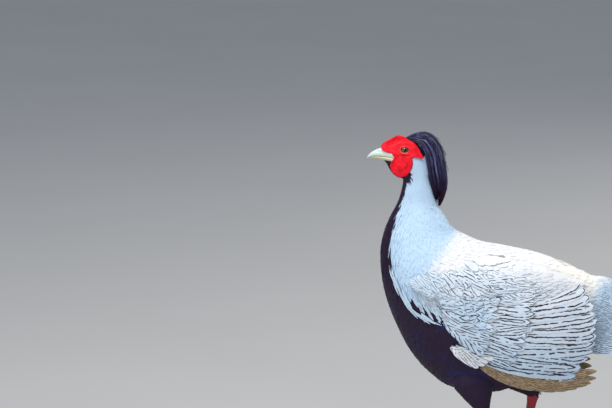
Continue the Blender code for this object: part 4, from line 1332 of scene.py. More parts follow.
def scapular_coat():
    """The lined feathers of the back that hide the wings' upper edge."""
    z = body_points[..., 2]
    turned = abs(angles)
    share = ramp(turned, 34, 42) * (1 - ramp(turned, 72, 80))
    share = share * ramp(rows, 12.9, 13.8) * (1 - ramp(rows, 18.3, 19.1))
    share = share * (BODY_VALUES["inside"] < -6 * MM)
    over = ramp(-z, -300, -283)
    values = dict(BODY_VALUES)
    values["wide"] = np.interp(rows, (13, 15, 19), (7.5, 11.5, 14)) * MM
    values["long"] = np.interp(rows, (13, 19), (22, 32)) * MM
    values["lines"] = np.interp(turned, (43, 52, 66), (0.0, 0.35, 1.0)) * ramp(rows, 13.0, 14.4)
    values["pitch"] = np.interp(turned, (38, 66), (3.0, 4.4)) * MM
    values["weight"] = np.interp(turned, (36, 50, 70), (0.3, 0.42, 0.85)) * MM
    values["waver"] = 2.4 * MM
    values["spray"] = 1.0
    # Painted shade: bluish sky shade that grows down the side
    values["tint"] = 0.05 + 0.5 * ramp(turned, 46, 76)
    values["cream"] = 0
    values["turn"] = np.sign(angles) * (0.5 * ramp(rows, 13.8, 16) - 0.1) * ramp(turned, 30, 60)
    values["stroke"] = 0.6
    values["lift"] = lifts(0.2 + 5.2 * over, 2.6, 1.0 + 2.8 * (1 - over))
    points = sheet_copy(BODY_SHEET, "scapular_coat")
    stored(points, values, share)
    coat = lay(
        points, BODY_SHEET, "scale", PLUMAGE, scatter=True, Spacing=5.6 * MM, Seed=23, Turn=0.1,
        Spread=0.15,
    )
    settle(coat, "lined_plumage")


# Every value that a feather laid by itself can have
TIER_KEYS = (
    "flat", "wide", "long", "turn", "bow", "lift", "lines", "pitch", "weight", "slant", "spray",
    "stroke", "waver", "margin", "tan", "tint", "cream", "gloss", "inside", "fringe", "around",
    "along", "bake",
)


def feather_row(root, tip, wide):
    """What every feather with a given root and tip needs, in flat millimetres."""
    run = np.subtract(tip, root)
    return {
        "flat": (root[0] * MM, root[1] * MM, 0),
        "wide": wide * MM,
        "long": np.hypot(*run) * MM,
        "turn": math.atan2(run[1], run[0]) - math.pi / 2,
        "inside": -0.05,
        "around": 1.0,
        "along": 1.0,
        "pitch": 4 * MM,
        "weight": 1 * MM,
    }


# Where white hackles stream down over the dark breast, seen from the side
STREAM = ((-121, 294), (-115, 280), (-107, 265), (-99, 248), (-84, 234), (-69, 225), (-45, 217))

# How many hackles stream down on a side, how far their ends stray, and their width
STREAM_COUNT = 22
STREAM_STRAY = 2.4
STREAM_WIDE = (1.8, 3.2)


def flat_place(x, z, side):
    """The body sheet's flat place nearest to a place seen from the side."""
    gap = np.hypot(body_points[..., 0] - x, body_points[..., 2] - z)
    gap = np.where((angles * side > 15) & (angles * side < 165), gap, FAR)
    return BODY_SHEET.flat[np.unravel_index(np.argmin(gap), gap.shape)]


def streaming_hackles():
    """Single white hackles over the edge of the dark breast."""
    rows_of = {key: [] for key in TIER_KEYS}
    for side in SIDES.values():
        for number in range(STREAM_COUNT):
            start = draw.uniform(0, len(STREAM) - 3)
            ends = smooth(STREAM, np.array((start, start + draw.uniform(1.2, 2.0))))
            ends = ends + draw.uniform(-STREAM_STRAY, STREAM_STRAY, 2) * np.array((1.0, 0.6))
            root = flat_place(*ends[0], side)
            tip = flat_place(*ends[1], side)
            values = dict.fromkeys(TIER_KEYS, 0.0)
            values.update(feather_row(root / MM, tip / MM, draw.uniform(*STREAM_WIDE)))
            values["lift"] = lifts(0.3, 2.6, 1.6)
            # Painted shade: bluish sky shade on the white hackles
            values["tint"] = 0.8
            values["bake"] = (0.5 + root[0], 0.3 + number * 0.004, 0)
            add_row(rows_of, values)
    hackles = tiers_mesh("streaming_hackles", rows_of)
    hackles = lay(hackles, BODY_SHEET, "hackle", PLUMAGE, Seed=27, Turn=0.02, Spread=0.0)
    settle(hackles, "white_plumage")


# The rump, from the body's back to the tail's vault: first and last x, the girth of a side,
# degrees of the body for a millimetre of it, and how far it rises over the body at each x
RUMP_SPAN = (96, 312)
RUMP_GIRTH = 117
RUMP_DEGREES = 1.1
RUMP_RISE = ((96, 0), (128, 0), (146, 2.6), (157, 1.2), (178, -3), (312, -3))

# How far down its side the rump's feathers grow, at each x
RUMP_LOW_EDGE = ((110, 80), (135, 92), (150, 110), (165, 114), (185, 103), (205, 108), (225, 111))


def rump_point(x, down):
    """The rump's surface at an x and at a distance down its side, negative on the left."""
    sections = [*BODY.values(), *BEYOND]
    back = [(section[2], row) for row, section in enumerate(sections) if section[2] > 20]
    on_body = body_point(profile(back, x), down * RUMP_DEGREES, profile(RUMP_RISE, x))
    side = np.where(down < 0, -1.0, 1.0)
    on_tail = tail_point(side, x - TAIL_START[0], np.abs(down), 0.0)
    share = ramp(x, 165, 226)[..., None]
    return on_body * (1 - share) + on_tail * share


def rump_coat():
    """Long soft feathers that run from the back over the tail's root."""
    across = np.arange(-RUMP_GIRTH, RUMP_GIRTH + 1, SHEET_STEP) * MM
    along = np.arange(RUMP_SPAN[0], RUMP_SPAN[1] + 1, SHEET_STEP) * MM
    down, x = np.meshgrid(across / MM, along / MM)
    points = rump_point(x, down)
    centre = points * np.array((1, 0, 1)) - np.array((0, 0, 60))
    sheet = Sheet("rump sheet", across, along, points, points - centre)
    lower = abs(down) / RUMP_GIRTH
    lined = ramp(x + 0.15 * abs(down), 130, 156)
    low_edge = profile(RUMP_LOW_EDGE, x)
    share = ramp(x, 98, 116) * (1 - ramp(x, 222, 262)) * (abs(down) < low_edge)
    values = {
        "wide": np.interp(x, (100, 150, 250), (11, 12, 16)) * MM,
        "long": np.interp(x, (100, 150, 200, 250), (24, 32, 44, 50)) * MM,
        "lines": lined * (0.5 + 0.3 * lower),
        "pitch": 2.5 * MM,
        "weight": 0.8 * MM,
        # painted bluish sky shade over the lined feathers
        "tint": lined * 0.95,
        "cream": (1 - lined) * 0.8,
        "gloss": 0,
        "inside": -0.05,
        "fringe": 0,
        "tan": 0,
        "turn": -np.sign(down) * 0.12 * (1 - lined),
        "bow": 0,
        "slant": 0.15,
        "spray": 0.5,
        "stroke": 0.6,
        "waver": 3.0 * MM,
        "margin": 0.9 * MM,
        "lift": lifts(0.2, 2.0, 1.4),
    }
    coat = sheet_copy(sheet, "rump_coat")
    stored(coat, values, share)
    coat = lay(
        coat, sheet, "scale", PLUMAGE, scatter=True, Spacing=5.6 * MM, Seed=29, Turn=0.1, Spread=0.15
    )
    settle(coat, "lined_plumage")


# How deep the skin lies under the solids, over the rows of the body and at the thighs
SKIN_DEPTH = ((0, 0.3), (7, 0.6), (8, 1.3), (12, 2.2), (20, 2.5), (22, 5.2))
THIGH_SKIN_DEPTH = 1.5

# Below this height all skin is dark, as if it lay this far inside
DARK_BELOW = 150
INSIDE_BELOW = 9


def skin():
    """One skin over head, neck, body and thighs, under the plumage."""
    columns = 90
    turns = np.arange(columns) * 360 / columns - 180
    places = np.linspace(0, len(BODY) - 1, 200)
    turn_grid, place_grid = np.meshgrid(turns, places)
    depth = -profile(SKIN_DEPTH, place_grid)
    points = body_point(place_grid, turn_grid, depth)
    body = tube("skin", points)
    thighs = new_group("thighs")
    for side in SIDES.values():
        grid = np.meshgrid(np.arange(36) * 10.0, np.linspace(0, 1, 24))
        tube("thigh", thigh_point(side, grid[1], grid[0], -THIGH_SKIN_DEPTH), thighs)
    join = body.modifiers.new("join", "BOOLEAN")
    join.operation = "UNION"
    join.solver = "EXACT"
    join.operand_type = "COLLECTION"
    join.collection = thighs
    body = made(body)
    for piece in list(thighs.objects):
        bpy.data.objects.remove(piece)
    bpy.data.collections.remove(thighs)
    mesh = body.data
    spots = np.empty(len(mesh.vertices) * 3)
    mesh.vertices.foreach_get("co", spots)
    spots = (spots.reshape(-1, 3) - SHIFT) / MM
    inside = inside_dark(spots[:, 0], spots[:, 2])
    put(mesh, "inside", np.where(spots[:, 2] < DARK_BELOW, INSIDE_BELOW, inside) * MM)
    # Painted shade: bluish sky shade over all the skin's white
    put(mesh, "tint", np.ones(len(spots)))
    mesh.materials.clear()
    mesh.materials.append(SKIN)
    mesh.shade_smooth()
    settle(body, "white_plumage", "head", "neck", "torso", "left_thigh", "right_thigh")


# Flat metres for each degree round a thigh and for its whole length
THIGH_DEGREE = 0.0002
THIGH_FLAT = 0.06


def thigh_coat():
    """Short dark feathers down to the hock."""
    for side_name, side in SIDES.items():
        across = np.arange(-190, 191, 10) * THIGH_DEGREE
        along = np.linspace(0, 1.14, 36) * THIGH_FLAT
        turn_grid, place_grid = np.meshgrid(across / THIGH_DEGREE, along / THIGH_FLAT)
        points = thigh_point(side, place_grid, turn_grid)
        centre = points.mean(axis=1, keepdims=True)
        sheet = Sheet(side_name + " thigh sheet", across, along, points, points - centre)
        length = np.interp(place_grid, (0, 0.6, 1), (15, 12, 7))
        values = {
            "wide": length * 0.3 * MM,
            "long": length * MM,
            "inside": 0.02,
            # painted blue sheen on the dark thigh feathers
            "gloss": 0.5,
            "pitch": 4 * MM,
            "weight": 1 * MM,
            "turn": 0,
            "bow": 0,
            "lift": lifts(-0.05 * length, 0.06 * length, 0.05 * length),
        }
        coat = sheet_copy(sheet, side_name + "_thigh_coat")
        stored(coat, values, (abs(turn_grid) <= 180) * (place_grid < 1.03))
        coat = lay(
            coat, sheet, "body", PLUMAGE, scatter=True, Spacing=0.0021, Seed=31, Turn=0.15, Spread=0.2
        )
        settle(coat, "dark_plumage")


# The folded wings

# What a wing's sheet spans in x and in height
WING_SPAN = (-126, 190)
WING_HEIGHTS = (100, 309)

# How far a vane leans over its neighbour, for its width
TILT = 0.095
TAIL_TILT = -0.13

# Each tier: how many feathers, ends of the line of roots, ends and middle of the curve of tips,
# width, bow, sinking from feather to feather, vane, lift at the root, over the first quarter
# and at the tip, strength, pitch and weight of the lines, their slant and how it varies, and
# how brown the feathers are
WING_TIERS = {
    "primaries": (
        8, (12, 182), (-24, 188), (155, 152), (160, 118), (82, 125), 11, 12, 0.6,
        "flight", (0.2, 1.2, 0.0), 0.75, 3.1, 0.75, 0.1, 0.2, 0.95,
    ),
    "secondaries": (
        13, (36, 248), (4, 170), (134, 270), (180, 214), (128, 149), 19, 0, 0,
        "flight", (0.4, 2.6, -0.6), 1.0, 6.4, 1.35, 0.02, 0.2, 0.0,
    ),
    "greater_coverts": (
        14, (-22, 268), (-30, 198), (66, 274), (80, 224), (38, 166), 16, 0, 0,
        "covert", (0.6, 3.0, 1.0), 1.0, 4.6, 1.1, 0.08, 0.5, 0.0,
    ),
    "median_coverts": (
        15, (-60, 278), (-50, 222), (12, 282), (30, 236), (6, 184), 14, 0, 0,
        "covert", (0.8, 3.4, 1.6), 1.0, 4.2, 0.95, 0.15, 0.7, 0.0,
    ),
    "alula": (
        4, (-35, 193), (-42, 189), (14, 176), (10, 168), (-4, 164), 8.5, 2, 0,
        "flight", (0.6, 3.4, 1.2), 0.75, 3.4, 0.7, 0.35, 0.3, 0.0,
    ),
}

# The front of the wing, where small coverts grow in no clear rows, as the side view shows it
LESSER_AREA = (
    (-98, 275),
    (-98, 286),
    (-60, 294),
    (-6, 293),
    (-2, 250),
    (-14, 223),
    (-28, 216),
    (-42, 234),
    (-56, 251),
    (-72, 263),
    (-88, 271),
)


def within(outline, x, z):
    """Whether places lie inside a closed outline."""
    inside = np.zeros(np.shape(x), bool)
    ends = outline[1:] + outline[:1]
    for start, end in zip(outline, ends):
        crosses = (start[1] > z) != (end[1] > z)
        rise = end[1] - start[1]
        level = start[0] + (z - start[1]) * (end[0] - start[0]) / (rise if rise else 1e-9)
        inside ^= crosses & (x < level)
    return inside


def lesser_coverts(side_name, sheet, x, z):
    """Small coverts that grow more upright towards the wing's upper front."""
    front = ramp(-x, 25, 105)
    upper = ramp(z, 258, 280) * ramp(-x, -15, 25)
    heading = -6 - 34 * np.maximum(front * ramp(-z, -290, -225), 1.15 * upper)
    length = 26 - 8 * front
    values = {
        "wide": length * 0.48 * MM,
        "long": length * MM,
        "lines": 1.0 - 0.4 * front,
        "pitch": (5.4 - 2.2 * front) * MM,
        "weight": (1.05 - 0.45 * front) * MM,
        # painted bluish sky shade, more low on the wing and at its front
        "tint": 0.45 + 0.4 * np.maximum(ramp(-z, -280, -240), 0.6 * front),
        "cream": 0,
        "gloss": 0,
        "inside": -0.05,
        "fringe": 0,
        "tan": 0,
        "turn": np.radians(heading - 90),
        "bow": 0,
        "slant": 0.25,
        "spray": 0.9,
        "stroke": 0.6,
        "waver": 2.4 * MM,
        "margin": 1.4 * MM,
        "lift": lifts(1.6, 3.0, 1.6),
    }
    coat = sheet_copy(sheet, side_name + "_lesser_coverts")
    stored(coat, values, within(LESSER_AREA, x, z).astype(float))
    return lay(
        coat, sheet, "scale", PLUMAGE, scatter=True, Spacing=5.2 * MM, Seed=41, Turn=0.1, Spread=0.2
    )


def side_reach(tree, x, z):
    """How far a shape reaches out from the middle, at places seen from the side."""
    reach = np.zeros(x.shape)
    for spot in np.ndindex(x.shape):
        hit = tree.ray_cast(Vector((x[spot], OUTSIDE_Y, z[spot])), Vector((0, 1, 0)))[0]
        reach[spot] = 0.0 if hit is None else max(-hit.y, 0.0)
    return reach


def wing_bed(body_tree, x, z):
    """How far out the folded wing's underside lies, at places seen from the side."""
    keys, *columns = zip(*WING_BED)
    half, middle, up, down = (np.interp(x, keys, column) for column in columns)
    part = np.abs(z - middle) / np.where(z > middle, up, down)
    bed = half * (1 - np.minimum(part, 0.98) ** BODY_POWER) ** (1 / BODY_POWER)
    return np.maximum(bed, side_reach(body_tree, x, z) + BED_OVER_BODY)


def between(low, high, share):
    """The place at a share of the way between two places."""
    low = np.asarray(low, float)
    return low + (np.asarray(high, float) - low) * share


def bent(first, middle, last, share):
    """The place at a share of the way along a curve with a middle handle."""
    return between(between(first, middle, share), between(middle, last, share), share)


def wings(body_tree):
    """Both folded wings: small coverts at the front and tiers of long feathers behind."""
    across = np.arange(*WING_SPAN, SHEET_STEP) * MM
    along = np.arange(*WING_HEIGHTS, SHEET_STEP) * MM
    x, z = np.meshgrid(across / MM, along / MM)
    bed = wing_bed(body_tree, x, z)
    for side_name, side in SIDES.items():
        points = np.stack((x, side * bed, z), -1)
        outward = np.zeros_like(points)
        outward[..., 1] = side
        sheet = Sheet(side_name + " wing sheet", across, along, points, outward)
        pieces = [lesser_coverts(side_name, sheet, x, z)]
        for number, (tier, row) in enumerate(WING_TIERS.items()):
            pieces.append(wing_tier(side_name, sheet, tier, row, number))
        settle(pieces[0], "lined_plumage", side_name + "_wing")
        for piece in pieces[1:]:
            settle(piece, "lined_plumage")


def wing_tier(side_name, sheet, tier, row, number):
    """The long feathers of one tier, each with its own square of the map."""
    count, root_top, root_low, tip_top, tip_bend, tip_low, wide, bow, deeper = row[:9]
    kind, lift, lines, pitch, weight, slant, spray, tan = row[9:]
    rows_of = {key: [] for key in TIER_KEYS}
    grid = math.ceil(math.sqrt(count))
    loose = 1.0 if kind == "flight" else 1.8
    for feather in range(count):
        share = feather / (count - 1)
        root = between(root_top, root_low, share) + draw.uniform(-1.2, 1.2, 2)
        tip = bent(tip_top, tip_bend, tip_low, share)
        tip = tip + draw.uniform(-1, 1, 2) * np.array((2.6, 1.0)) * loose
        line, column = divmod(feather, grid)
        values = dict.fromkeys(TIER_KEYS, 0.0)
        values.update(feather_row(root, tip, wide * draw.uniform(0.94, 1.08)))
        values.update(
            bow=bow * MM,
            lift=lifts(lift[0], lift[1] - deeper * feather, lift[2]),
            lines=lines,
            pitch=pitch * draw.uniform(0.82, 1.18) * MM,
            weight=weight * MM,
            slant=slant,
            spray=spray,
            stroke=0.15 if kind == "flight" else 0.55,
            waver=0.75 * pitch * MM,
            margin=0.42 * pitch * MM,
            tan=tan,
            # painted bluish sky shade, more on a tier's lower feathers
            tint=0.1 if tier == "alula" else 0.3 + 0.5 * share,
            bake=((column + 0.5) / grid, (line + 0.5) / grid, 0),
        )
        add_row(rows_of, values)
    points = tiers_mesh(side_name + "_" + tier, rows_of)
    patch = (PATCH_FILL / grid, PATCH_FILL / grid, 0.0)
    return lay(
        points, sheet, kind, PLUMAGE, Seed=50 + number, Turn=0.01, Spread=0.0, Tilt=TILT, Patch=patch
    )


# The tail


def tail():
    """Both halves of the tail's vault, each a row of long plumes."""
    across = np.arange(0, TAIL_LENGTH + 16, 5.0) * MM
    along = np.arange(-4, TAIL_GIRTH + 14, SHEET_STEP) * MM
    run, down = np.meshgrid(across / MM, along / MM)
    for side_name, side in SIDES.items():
        points = tail_point(side, run, down)
        outward = np.zeros_like(points)
        outward[..., 1] = side
        sheet = Sheet(side_name + " tail sheet", across, along, points, outward)
        nodes = ("tail",) if side == LEFT else ()
        settle(tail_tier(side_name, sheet), "lined_plumage", *nodes)


def tail_tier(side_name, sheet):
    rows_of = {key: [] for key in TIER_KEYS}
    for number, length in enumerate(TAIL_LENGTHS):
        down = TAIL_FIRST + TAIL_SPACING * number
        root = (TAIL_ROOTS[0] + TAIL_ROOTS[1] * down, down)
        line, column = divmod(number, TAIL_SQUARES)
        values = dict.fromkeys(TIER_KEYS, 0.0)
        values.update(feather_row(root, (length, down + 2), TAIL_WIDE[min(number, 1)]))
        values.update(
            lift=lifts(-3, 3, 0.4),
            lines=0.4 + 0.06 * number,
            pitch=2.6 * MM,
            weight=0.85 * MM,
            slant=0.12,
            spray=0.1,
            stroke=0.0,
            waver=3.4 * MM,
            margin=1.0 * MM,
            # painted bluish sky shade over the plumes
            tint=0.85,
            bake=((column + 0.5) / TAIL_SQUARES, (line + 0.5) / TAIL_SQUARES, 0),
        )
        add_row(rows_of, values)
    points = tiers_mesh(side_name + "_tail_plumes", rows_of)
    return lay(
        points, sheet, "plume", PLUMAGE, Seed=71, Turn=0.0, Spread=0.0, Tilt=TAIL_TILT,
        Patch=(TAIL_PATCH, TAIL_PATCH, 0.0),
    )


# The crest

# Layers of hair-like feathers: count, spread to a side, depth, later start, loose lift at the tip
CREST_HAIRS = (
    (1000, 37.0, -0.4, 0.0, 0.6),
    (700, 31.0, -2.6, 0.04, 0.3),
    (500, 24.0, -5.0, 0.08, 0.2),
    (90, 20.0, -0.6, 0.06, 4.5),
)

# Flat metres for the whole length of the crest
CREST_FLAT = 0.1

# Least and most width of a hair, and the share of it that a loose hair has
HAIR_WIDE = (0.8, 1.8)
LOOSE_SHARE = 0.45


def crest():
    """Layers of hair-like feathers on a sheet round the crest's spine."""
    across = np.arange(-52, 53, 1.5) * MM
    along = np.linspace(0, 1, 81) * CREST_FLAT
    about, run = np.meshgrid(across / MM, along / CREST_FLAT)
    points = crest_point(run, about)
    centre = crest_point(run, np.full_like(about, 0.0), -50.0)
    sheet = Sheet("crest sheet", across, along, points, points - centre)
    for layer, (count, spread, depth, later, loose) in enumerate(CREST_HAIRS):
        rows_of = {key: [] for key in TIER_KEYS}
        for _ in range(count):
            about = draw.uniform(-spread, spread)
            side = abs(about) / spread
            start = 0.015 + draw.uniform(0, 0.36) + later
            end = min(0.93 - 0.10 * side + draw.uniform(-0.2, 0.09), 0.995)
            if loose > 1:
                start = draw.uniform(0.1, 0.32)
                end = start + draw.uniform(0.22, 0.36)
            values = dict.fromkeys(TIER_KEYS, 0.0)
            values.update(
                flat=(about * MM, start * CREST_FLAT, 0),
                wide=draw.uniform(*HAIR_WIDE) * (LOOSE_SHARE if loose > 1 else 1) * MM,
                long=(end - start) * CREST_FLAT,
                turn=draw.uniform(-0.05, 0.05),
                bow=draw.uniform(-1.5, 1.5) * MM,
                around=1.0,
                along=1.0,
                bake=(0.5 + about * 0.012, 0.05 + start, 0),
            )
            tip = -depth * 0.7 + draw.uniform(-1.0, 0.4) + loose * draw.uniform(0.3, 1)
            values["lift"] = lifts(depth - 1.6, 1.6, tip)
            add_row(rows_of, values)
        hairs = tiers_mesh("crest_layer_%d" % (layer + 1), rows_of)
        hairs = lay(hairs, sheet, "hair", CREST, Seed=91 + layer, Turn=0.03, Spread=0.0)
        settle(hairs, "dark_plumage", *(("crest",) if layer == 0 else ()))


# The bare face, eyes and bill

# Steps from the lid's margin out to the face's edge and back under it: distance from the
# opening, share of the way to the outline, and lift
FACE_LEVELS = (
    (0.0, 0.0, 0.4),
    (1.0, 0.0, 1.2),
    (2.1, 0.0, 0.6),
    (2.1, 0.42, 1.7),
    (2.1, 0.74, 2.2),
    (2.1, 0.93, 1.7),
    (2.1, 1.0, 0.2),
    (2.1, 0.74, -3.4),
    (0.6, 0.0, -3.6),
)
FACE_SPOKES = 180
FACE_RINGS = 80

# The crease under the eye: its middle, bend, half width and depth
CREASE_MIDDLE = (-102, 442.4)
CREASE_BEND = 0.012
CREASE_HALF = 0.8
CREASE_DEPTH = 0.6

# The least distance of the face from the middle
FACE_GAP = 0.12


def eyeball_out(x, z):
    """How far out the eyeball reaches, seen from the side."""
    room = EYE_RADIUS**2 - (x - EYE_CENTRE[0]) ** 2 - (z - EYE_CENTRE[2]) ** 2
    return EYE_CENTRE[1] + np.sqrt(np.maximum(room, 0))


def face(side_name, side, body_tree):
    """One side of the bare face, from the lid's margin to an edge that turns under."""
    turns = np.linspace(-180, 180, FACE_SPOKES, endpoint=False)
    angle = np.radians(turns)[None, :]
    levels = smooth(FACE_LEVELS, np.linspace(0, len(FACE_LEVELS) - 1, FACE_RINGS))
    extra = levels[:, 0:1]
    share = np.clip(levels[:, 1:2], 0, 1)
    lift = levels[:, 2:3]
    slit = 1 / np.hypot(np.cos(angle) / EYE_SLIT[0], np.sin(angle) / EYE_SLIT[1])
    inner = slit + extra
    outline = face_reach(turns)[None, :]
    reach = inner + (outline - inner) * share
    probe = np.minimum(reach, inner + (outline - inner) * 0.72)
    x = EYE_SLIT_MIDDLE[0] + np.cos(angle) * reach
    z = EYE_SLIT_MIDDLE[1] + np.sin(angle) * reach
    probe_x = EYE_SLIT_MIDDLE[0] + np.cos(angle) * probe
    probe_z = EYE_SLIT_MIDDLE[1] + np.sin(angle) * probe
    own = side_reach(body_tree, probe_x, probe_z)
    by_lid = np.clip(1 - share * 8, 0, 1) * (lift > 0)
    own = own + by_lid * np.maximum(eyeball_out(x, z) - own, 0)
    folded = ramp(share, 0.3, 0.5) * ramp(-share, -1.0, -0.85) * (lift > 0)
    fold = 0.35 * np.sin(5 * angle + 7 * share) + 0.16 * np.sin(11 * angle + 31 * share)
    off_x = x - CREASE_MIDDLE[0]
    off_z = z - CREASE_MIDDLE[1] - CREASE_BEND * off_x**2
    crease = np.exp(-((off_z / CREASE_HALF) ** 2))
    crease = crease * ramp(-abs(off_x), -9, -5) * (lift > 0)
    out = own + lift + fold * folded - CREASE_DEPTH * crease
    out = np.maximum(out, FACE_GAP)
    points = np.stack((x, side * out, z), -1)
    rings, spokes = x.shape
    faces = grid_faces(rings, spokes, True)
    for spoke in range(spokes):
        far = (spoke + 1) % spokes
        last = (rings - 1) * spokes
        faces.append((last + spoke, last + far, far, spoke))
    piece = mesh_object(side_name + "_face", metres(points.reshape(-1, 3)), faces)
    mesh = piece.data
    turn_out(mesh)
    lower = ramp(-np.sin(angle + 0.6), -0.7, 0.7)
    rim = ramp(-extra, -1.0, -0.5) * ramp(extra, 0.12, 0.3) * (share < 0.02) * (lift > 0)
    rim = rim * (0.25 + 0.75 * lower) + 0 * x
    put(mesh, "rim", rim.ravel() * 0.85)
    # Painted shade: the lid's inner margin and the crease under the eye, darkened in colour
    lid = ramp(-extra, -0.2, -0.05) * (share < 0.02)
    put(mesh, "fold", np.clip(crease * 0.8 + lid, 0, 1).ravel())
    grain = ramp(share, 0.0, 0.1) * (lift > 0.1) + 0 * x
    put(mesh, "grain", grain.ravel())
    mesh.materials.append(FACE)
    return settle(piece, "face_skin")


# The grains of the face, in metres
GRAIN_SPACING = 0.00075
GRAIN_SIZE = 0.00036

GRAIN_INPUTS = {
    "Grain": "NodeSocketObject",
    "Spacing": "NodeSocketFloat",
    "Size": "NodeSocketFloat",
    "Seed": "NodeSocketInt",
    "Material": "NodeSocketMaterial",
}


def grain_tree():
    """Small domes over a skin, where its grain value allows them."""
    tree, graph, given = new_tree("grains on skin", GRAIN_INPUTS)
    inputs = {
        "Mesh": given["Geometry"],
        "Distance Min": given["Spacing"],
        "Density Max": MOST_GRAINS,
        "Density Factor": graph.named("grain"),
        "Seed": given["Seed"],
    }
    kind = "GeometryNodeDistributePointsOnFaces"
    node = graph.add(kind, inputs, distribute_method="POISSON")
    size = graph.math("MULTIPLY", given["Size"], graph.chance(0.6, 1.25, given["Seed"]))
    dome = graph.add("GeometryNodeObjectInfo", {"Object": given["Grain"]}).outputs["Geometry"]
    inputs = {
        "Points": node.outputs["Points"],
        "Instance": dome,
        "Rotation": node.outputs["Rotation"],
        "Scale": graph.combine(size, size, size),
    }
    domes = graph.add("GeometryNodeInstanceOnPoints", inputs).outputs[0]
    domes = graph.add("GeometryNodeRealizeInstances", {"Geometry": domes}).outputs[0]
    end_tree(graph, domes, given["Material"])
    return tree


def dome_mesh():
    shape = bmesh.new()
    bmesh.ops.create_icosphere(shape, subdivisions=1, radius=1)
    for vertex in shape.verts:
        vertex.co.z *= 0.7
    mesh = bpy.data.meshes.new("grain")
    shape.to_mesh(mesh)
    shape.free()
    mesh.shade_smooth()
    piece = bpy.data.objects.new("grain", mesh)
    HELPERS.objects.link(piece)
    return piece


def face_grains(faces):
    """The velvety grains over both sides of the face."""
    tree = grain_tree()
    dome = dome_mesh()
    for side_name, skin_piece in faces.items():
        source = skin_piece.copy()
        source.data = skin_piece.data.copy()
        source.name = side_name + "_face_grains"
        source.parent = None
        MODEL.objects.link(source)
        values = {
            "Grain": dome,
            "Spacing": GRAIN_SPACING,
            "Size": GRAIN_SIZE,
            "Seed": 5,
            "Material": FACE,
        }
        settle(run_tree(source, tree, values), "face_skin")


def eye(side_name, side):
    """The eyeball with its pole on the line of sight and a slight bulge over the iris."""
    gaze = np.linspace(0, 180, 61)[:, None]
    about = np.radians(np.arange(64) * 360 / 64)[None, :]
    swell = EYE_BULGE * ramp(-gaze, -IRIS_ANGLE - 4, 0)
    radius = EYE_RADIUS + swell - EYE_BULGE
    sight = unit((0, side, EYE_LEAN))
    sideways = np.array((1.0, 0, 0))
    upwards = np.cross(sight, sideways)
    turn = np.radians(gaze)
    middle = np.array((EYE_CENTRE[0], side * EYE_CENTRE[1], EYE_CENTRE[2]))
    points = (
        middle
        + (radius * np.cos(turn) * np.ones_like(about))[..., None] * sight
        + (radius * np.sin(turn) * np.cos(about))[..., None] * sideways
        + (radius * np.sin(turn) * np.sin(about))[..., None] * upwards
    )
    piece = tube(side_name + "_eyeball", points)
    put(piece.data, "gaze", (gaze + 0 * about).ravel())
    shape = bmesh.new()
    shape.from_mesh(piece.data)
    bmesh.ops.remove_doubles(shape, verts=shape.verts, dist=1e-6)
    shape.to_mesh(piece.data)
    shape.free()
    piece.data.shade_smooth()
    piece.data.materials.append(EYE)
    return settle(piece, "eye", side_name + "_eye")


def bill(name, table, material, node, mouth_on_top=False):
    """A bill with a rounded back, and flat along the mouth line, where it is widest."""
    places = np.linspace(0, len(table) - 1, 80)
    turns = np.radians(np.arange(64) * 360 / 64)
    sizes = smooth(list(table.values()), places)
    x, top, low, half = (column[:, None] for column in sizes.T)
    past = BILL_PAST_MOUTH * (top - low)
    ceiling = top + past if mouth_on_top else top
    floor = low if mouth_on_top else low - past
    up = signed_power(np.cos(turns), 2 / BILL_POWER)[None, :]
    out = signed_power(np.sin(turns), 2 / BILL_POWER)[None, :]
    y = half * out
    z = np.clip((ceiling + floor) / 2 + (ceiling - floor) / 2 * up, low, top)
    x = x + 0 * z
    if not mouth_on_top:
        off = ((x - NOSTRIL[0]) / NOSTRIL_SIZE[0]) ** 2 + ((z - NOSTRIL[1]) / NOSTRIL_SIZE[1]) ** 2
        y = y - np.sign(y) * NOSTRIL_DEPTH * ramp(-off, -1.3, -0.3)
    piece = tube(name, np.stack((x, y, z), -1))
    piece.data.materials.append(material)
    return settle(piece, "bill_horn", node)


def head(body_tree):
    skins = {name: face(name, side, body_tree) for name, side in SIDES.items()}
    face_grains(skins)
    for name, side in SIDES.items():
        eye(name, side)
    bill("upper_bill", UPPER_BILL, UPPER_HORN, "upper_beak")
    bill("lower_bill", LOWER_BILL, LOWER_HORN, "lower_beak", mouth_on_top=True)


# Legs


def joined_tubes(name, parts, material):
    """Tubes in one mesh: each part has rings of points and, for each point, how deep in a
    groove between scutes it lies."""
    points = []
    faces = []
    grooves = []
    for rings, groove in parts:
        first = sum(len(some) for some in points)
        own = tube_faces(*rings.shape[:2])
        trial = mesh_object("trial", metres(rings.reshape(-1, 3)), own, HELPERS)
        if mesh_volume(trial.data) < 0:
            own = [face_row[::-1] for face_row in own]
        bpy.data.objects.remove(trial)
        points.append(rings.reshape(-1, 3))
        grooves.append((groove + 0 * rings[..., 0]).ravel())
        faces.extend(tuple(first + corner for corner in face_row) for face_row in own)
    piece = mesh_object(name, metres(np.concatenate(points)), faces)
    put(piece.data, "groove", np.concatenate(grooves))
    piece.data.materials.append(material)
    return piece


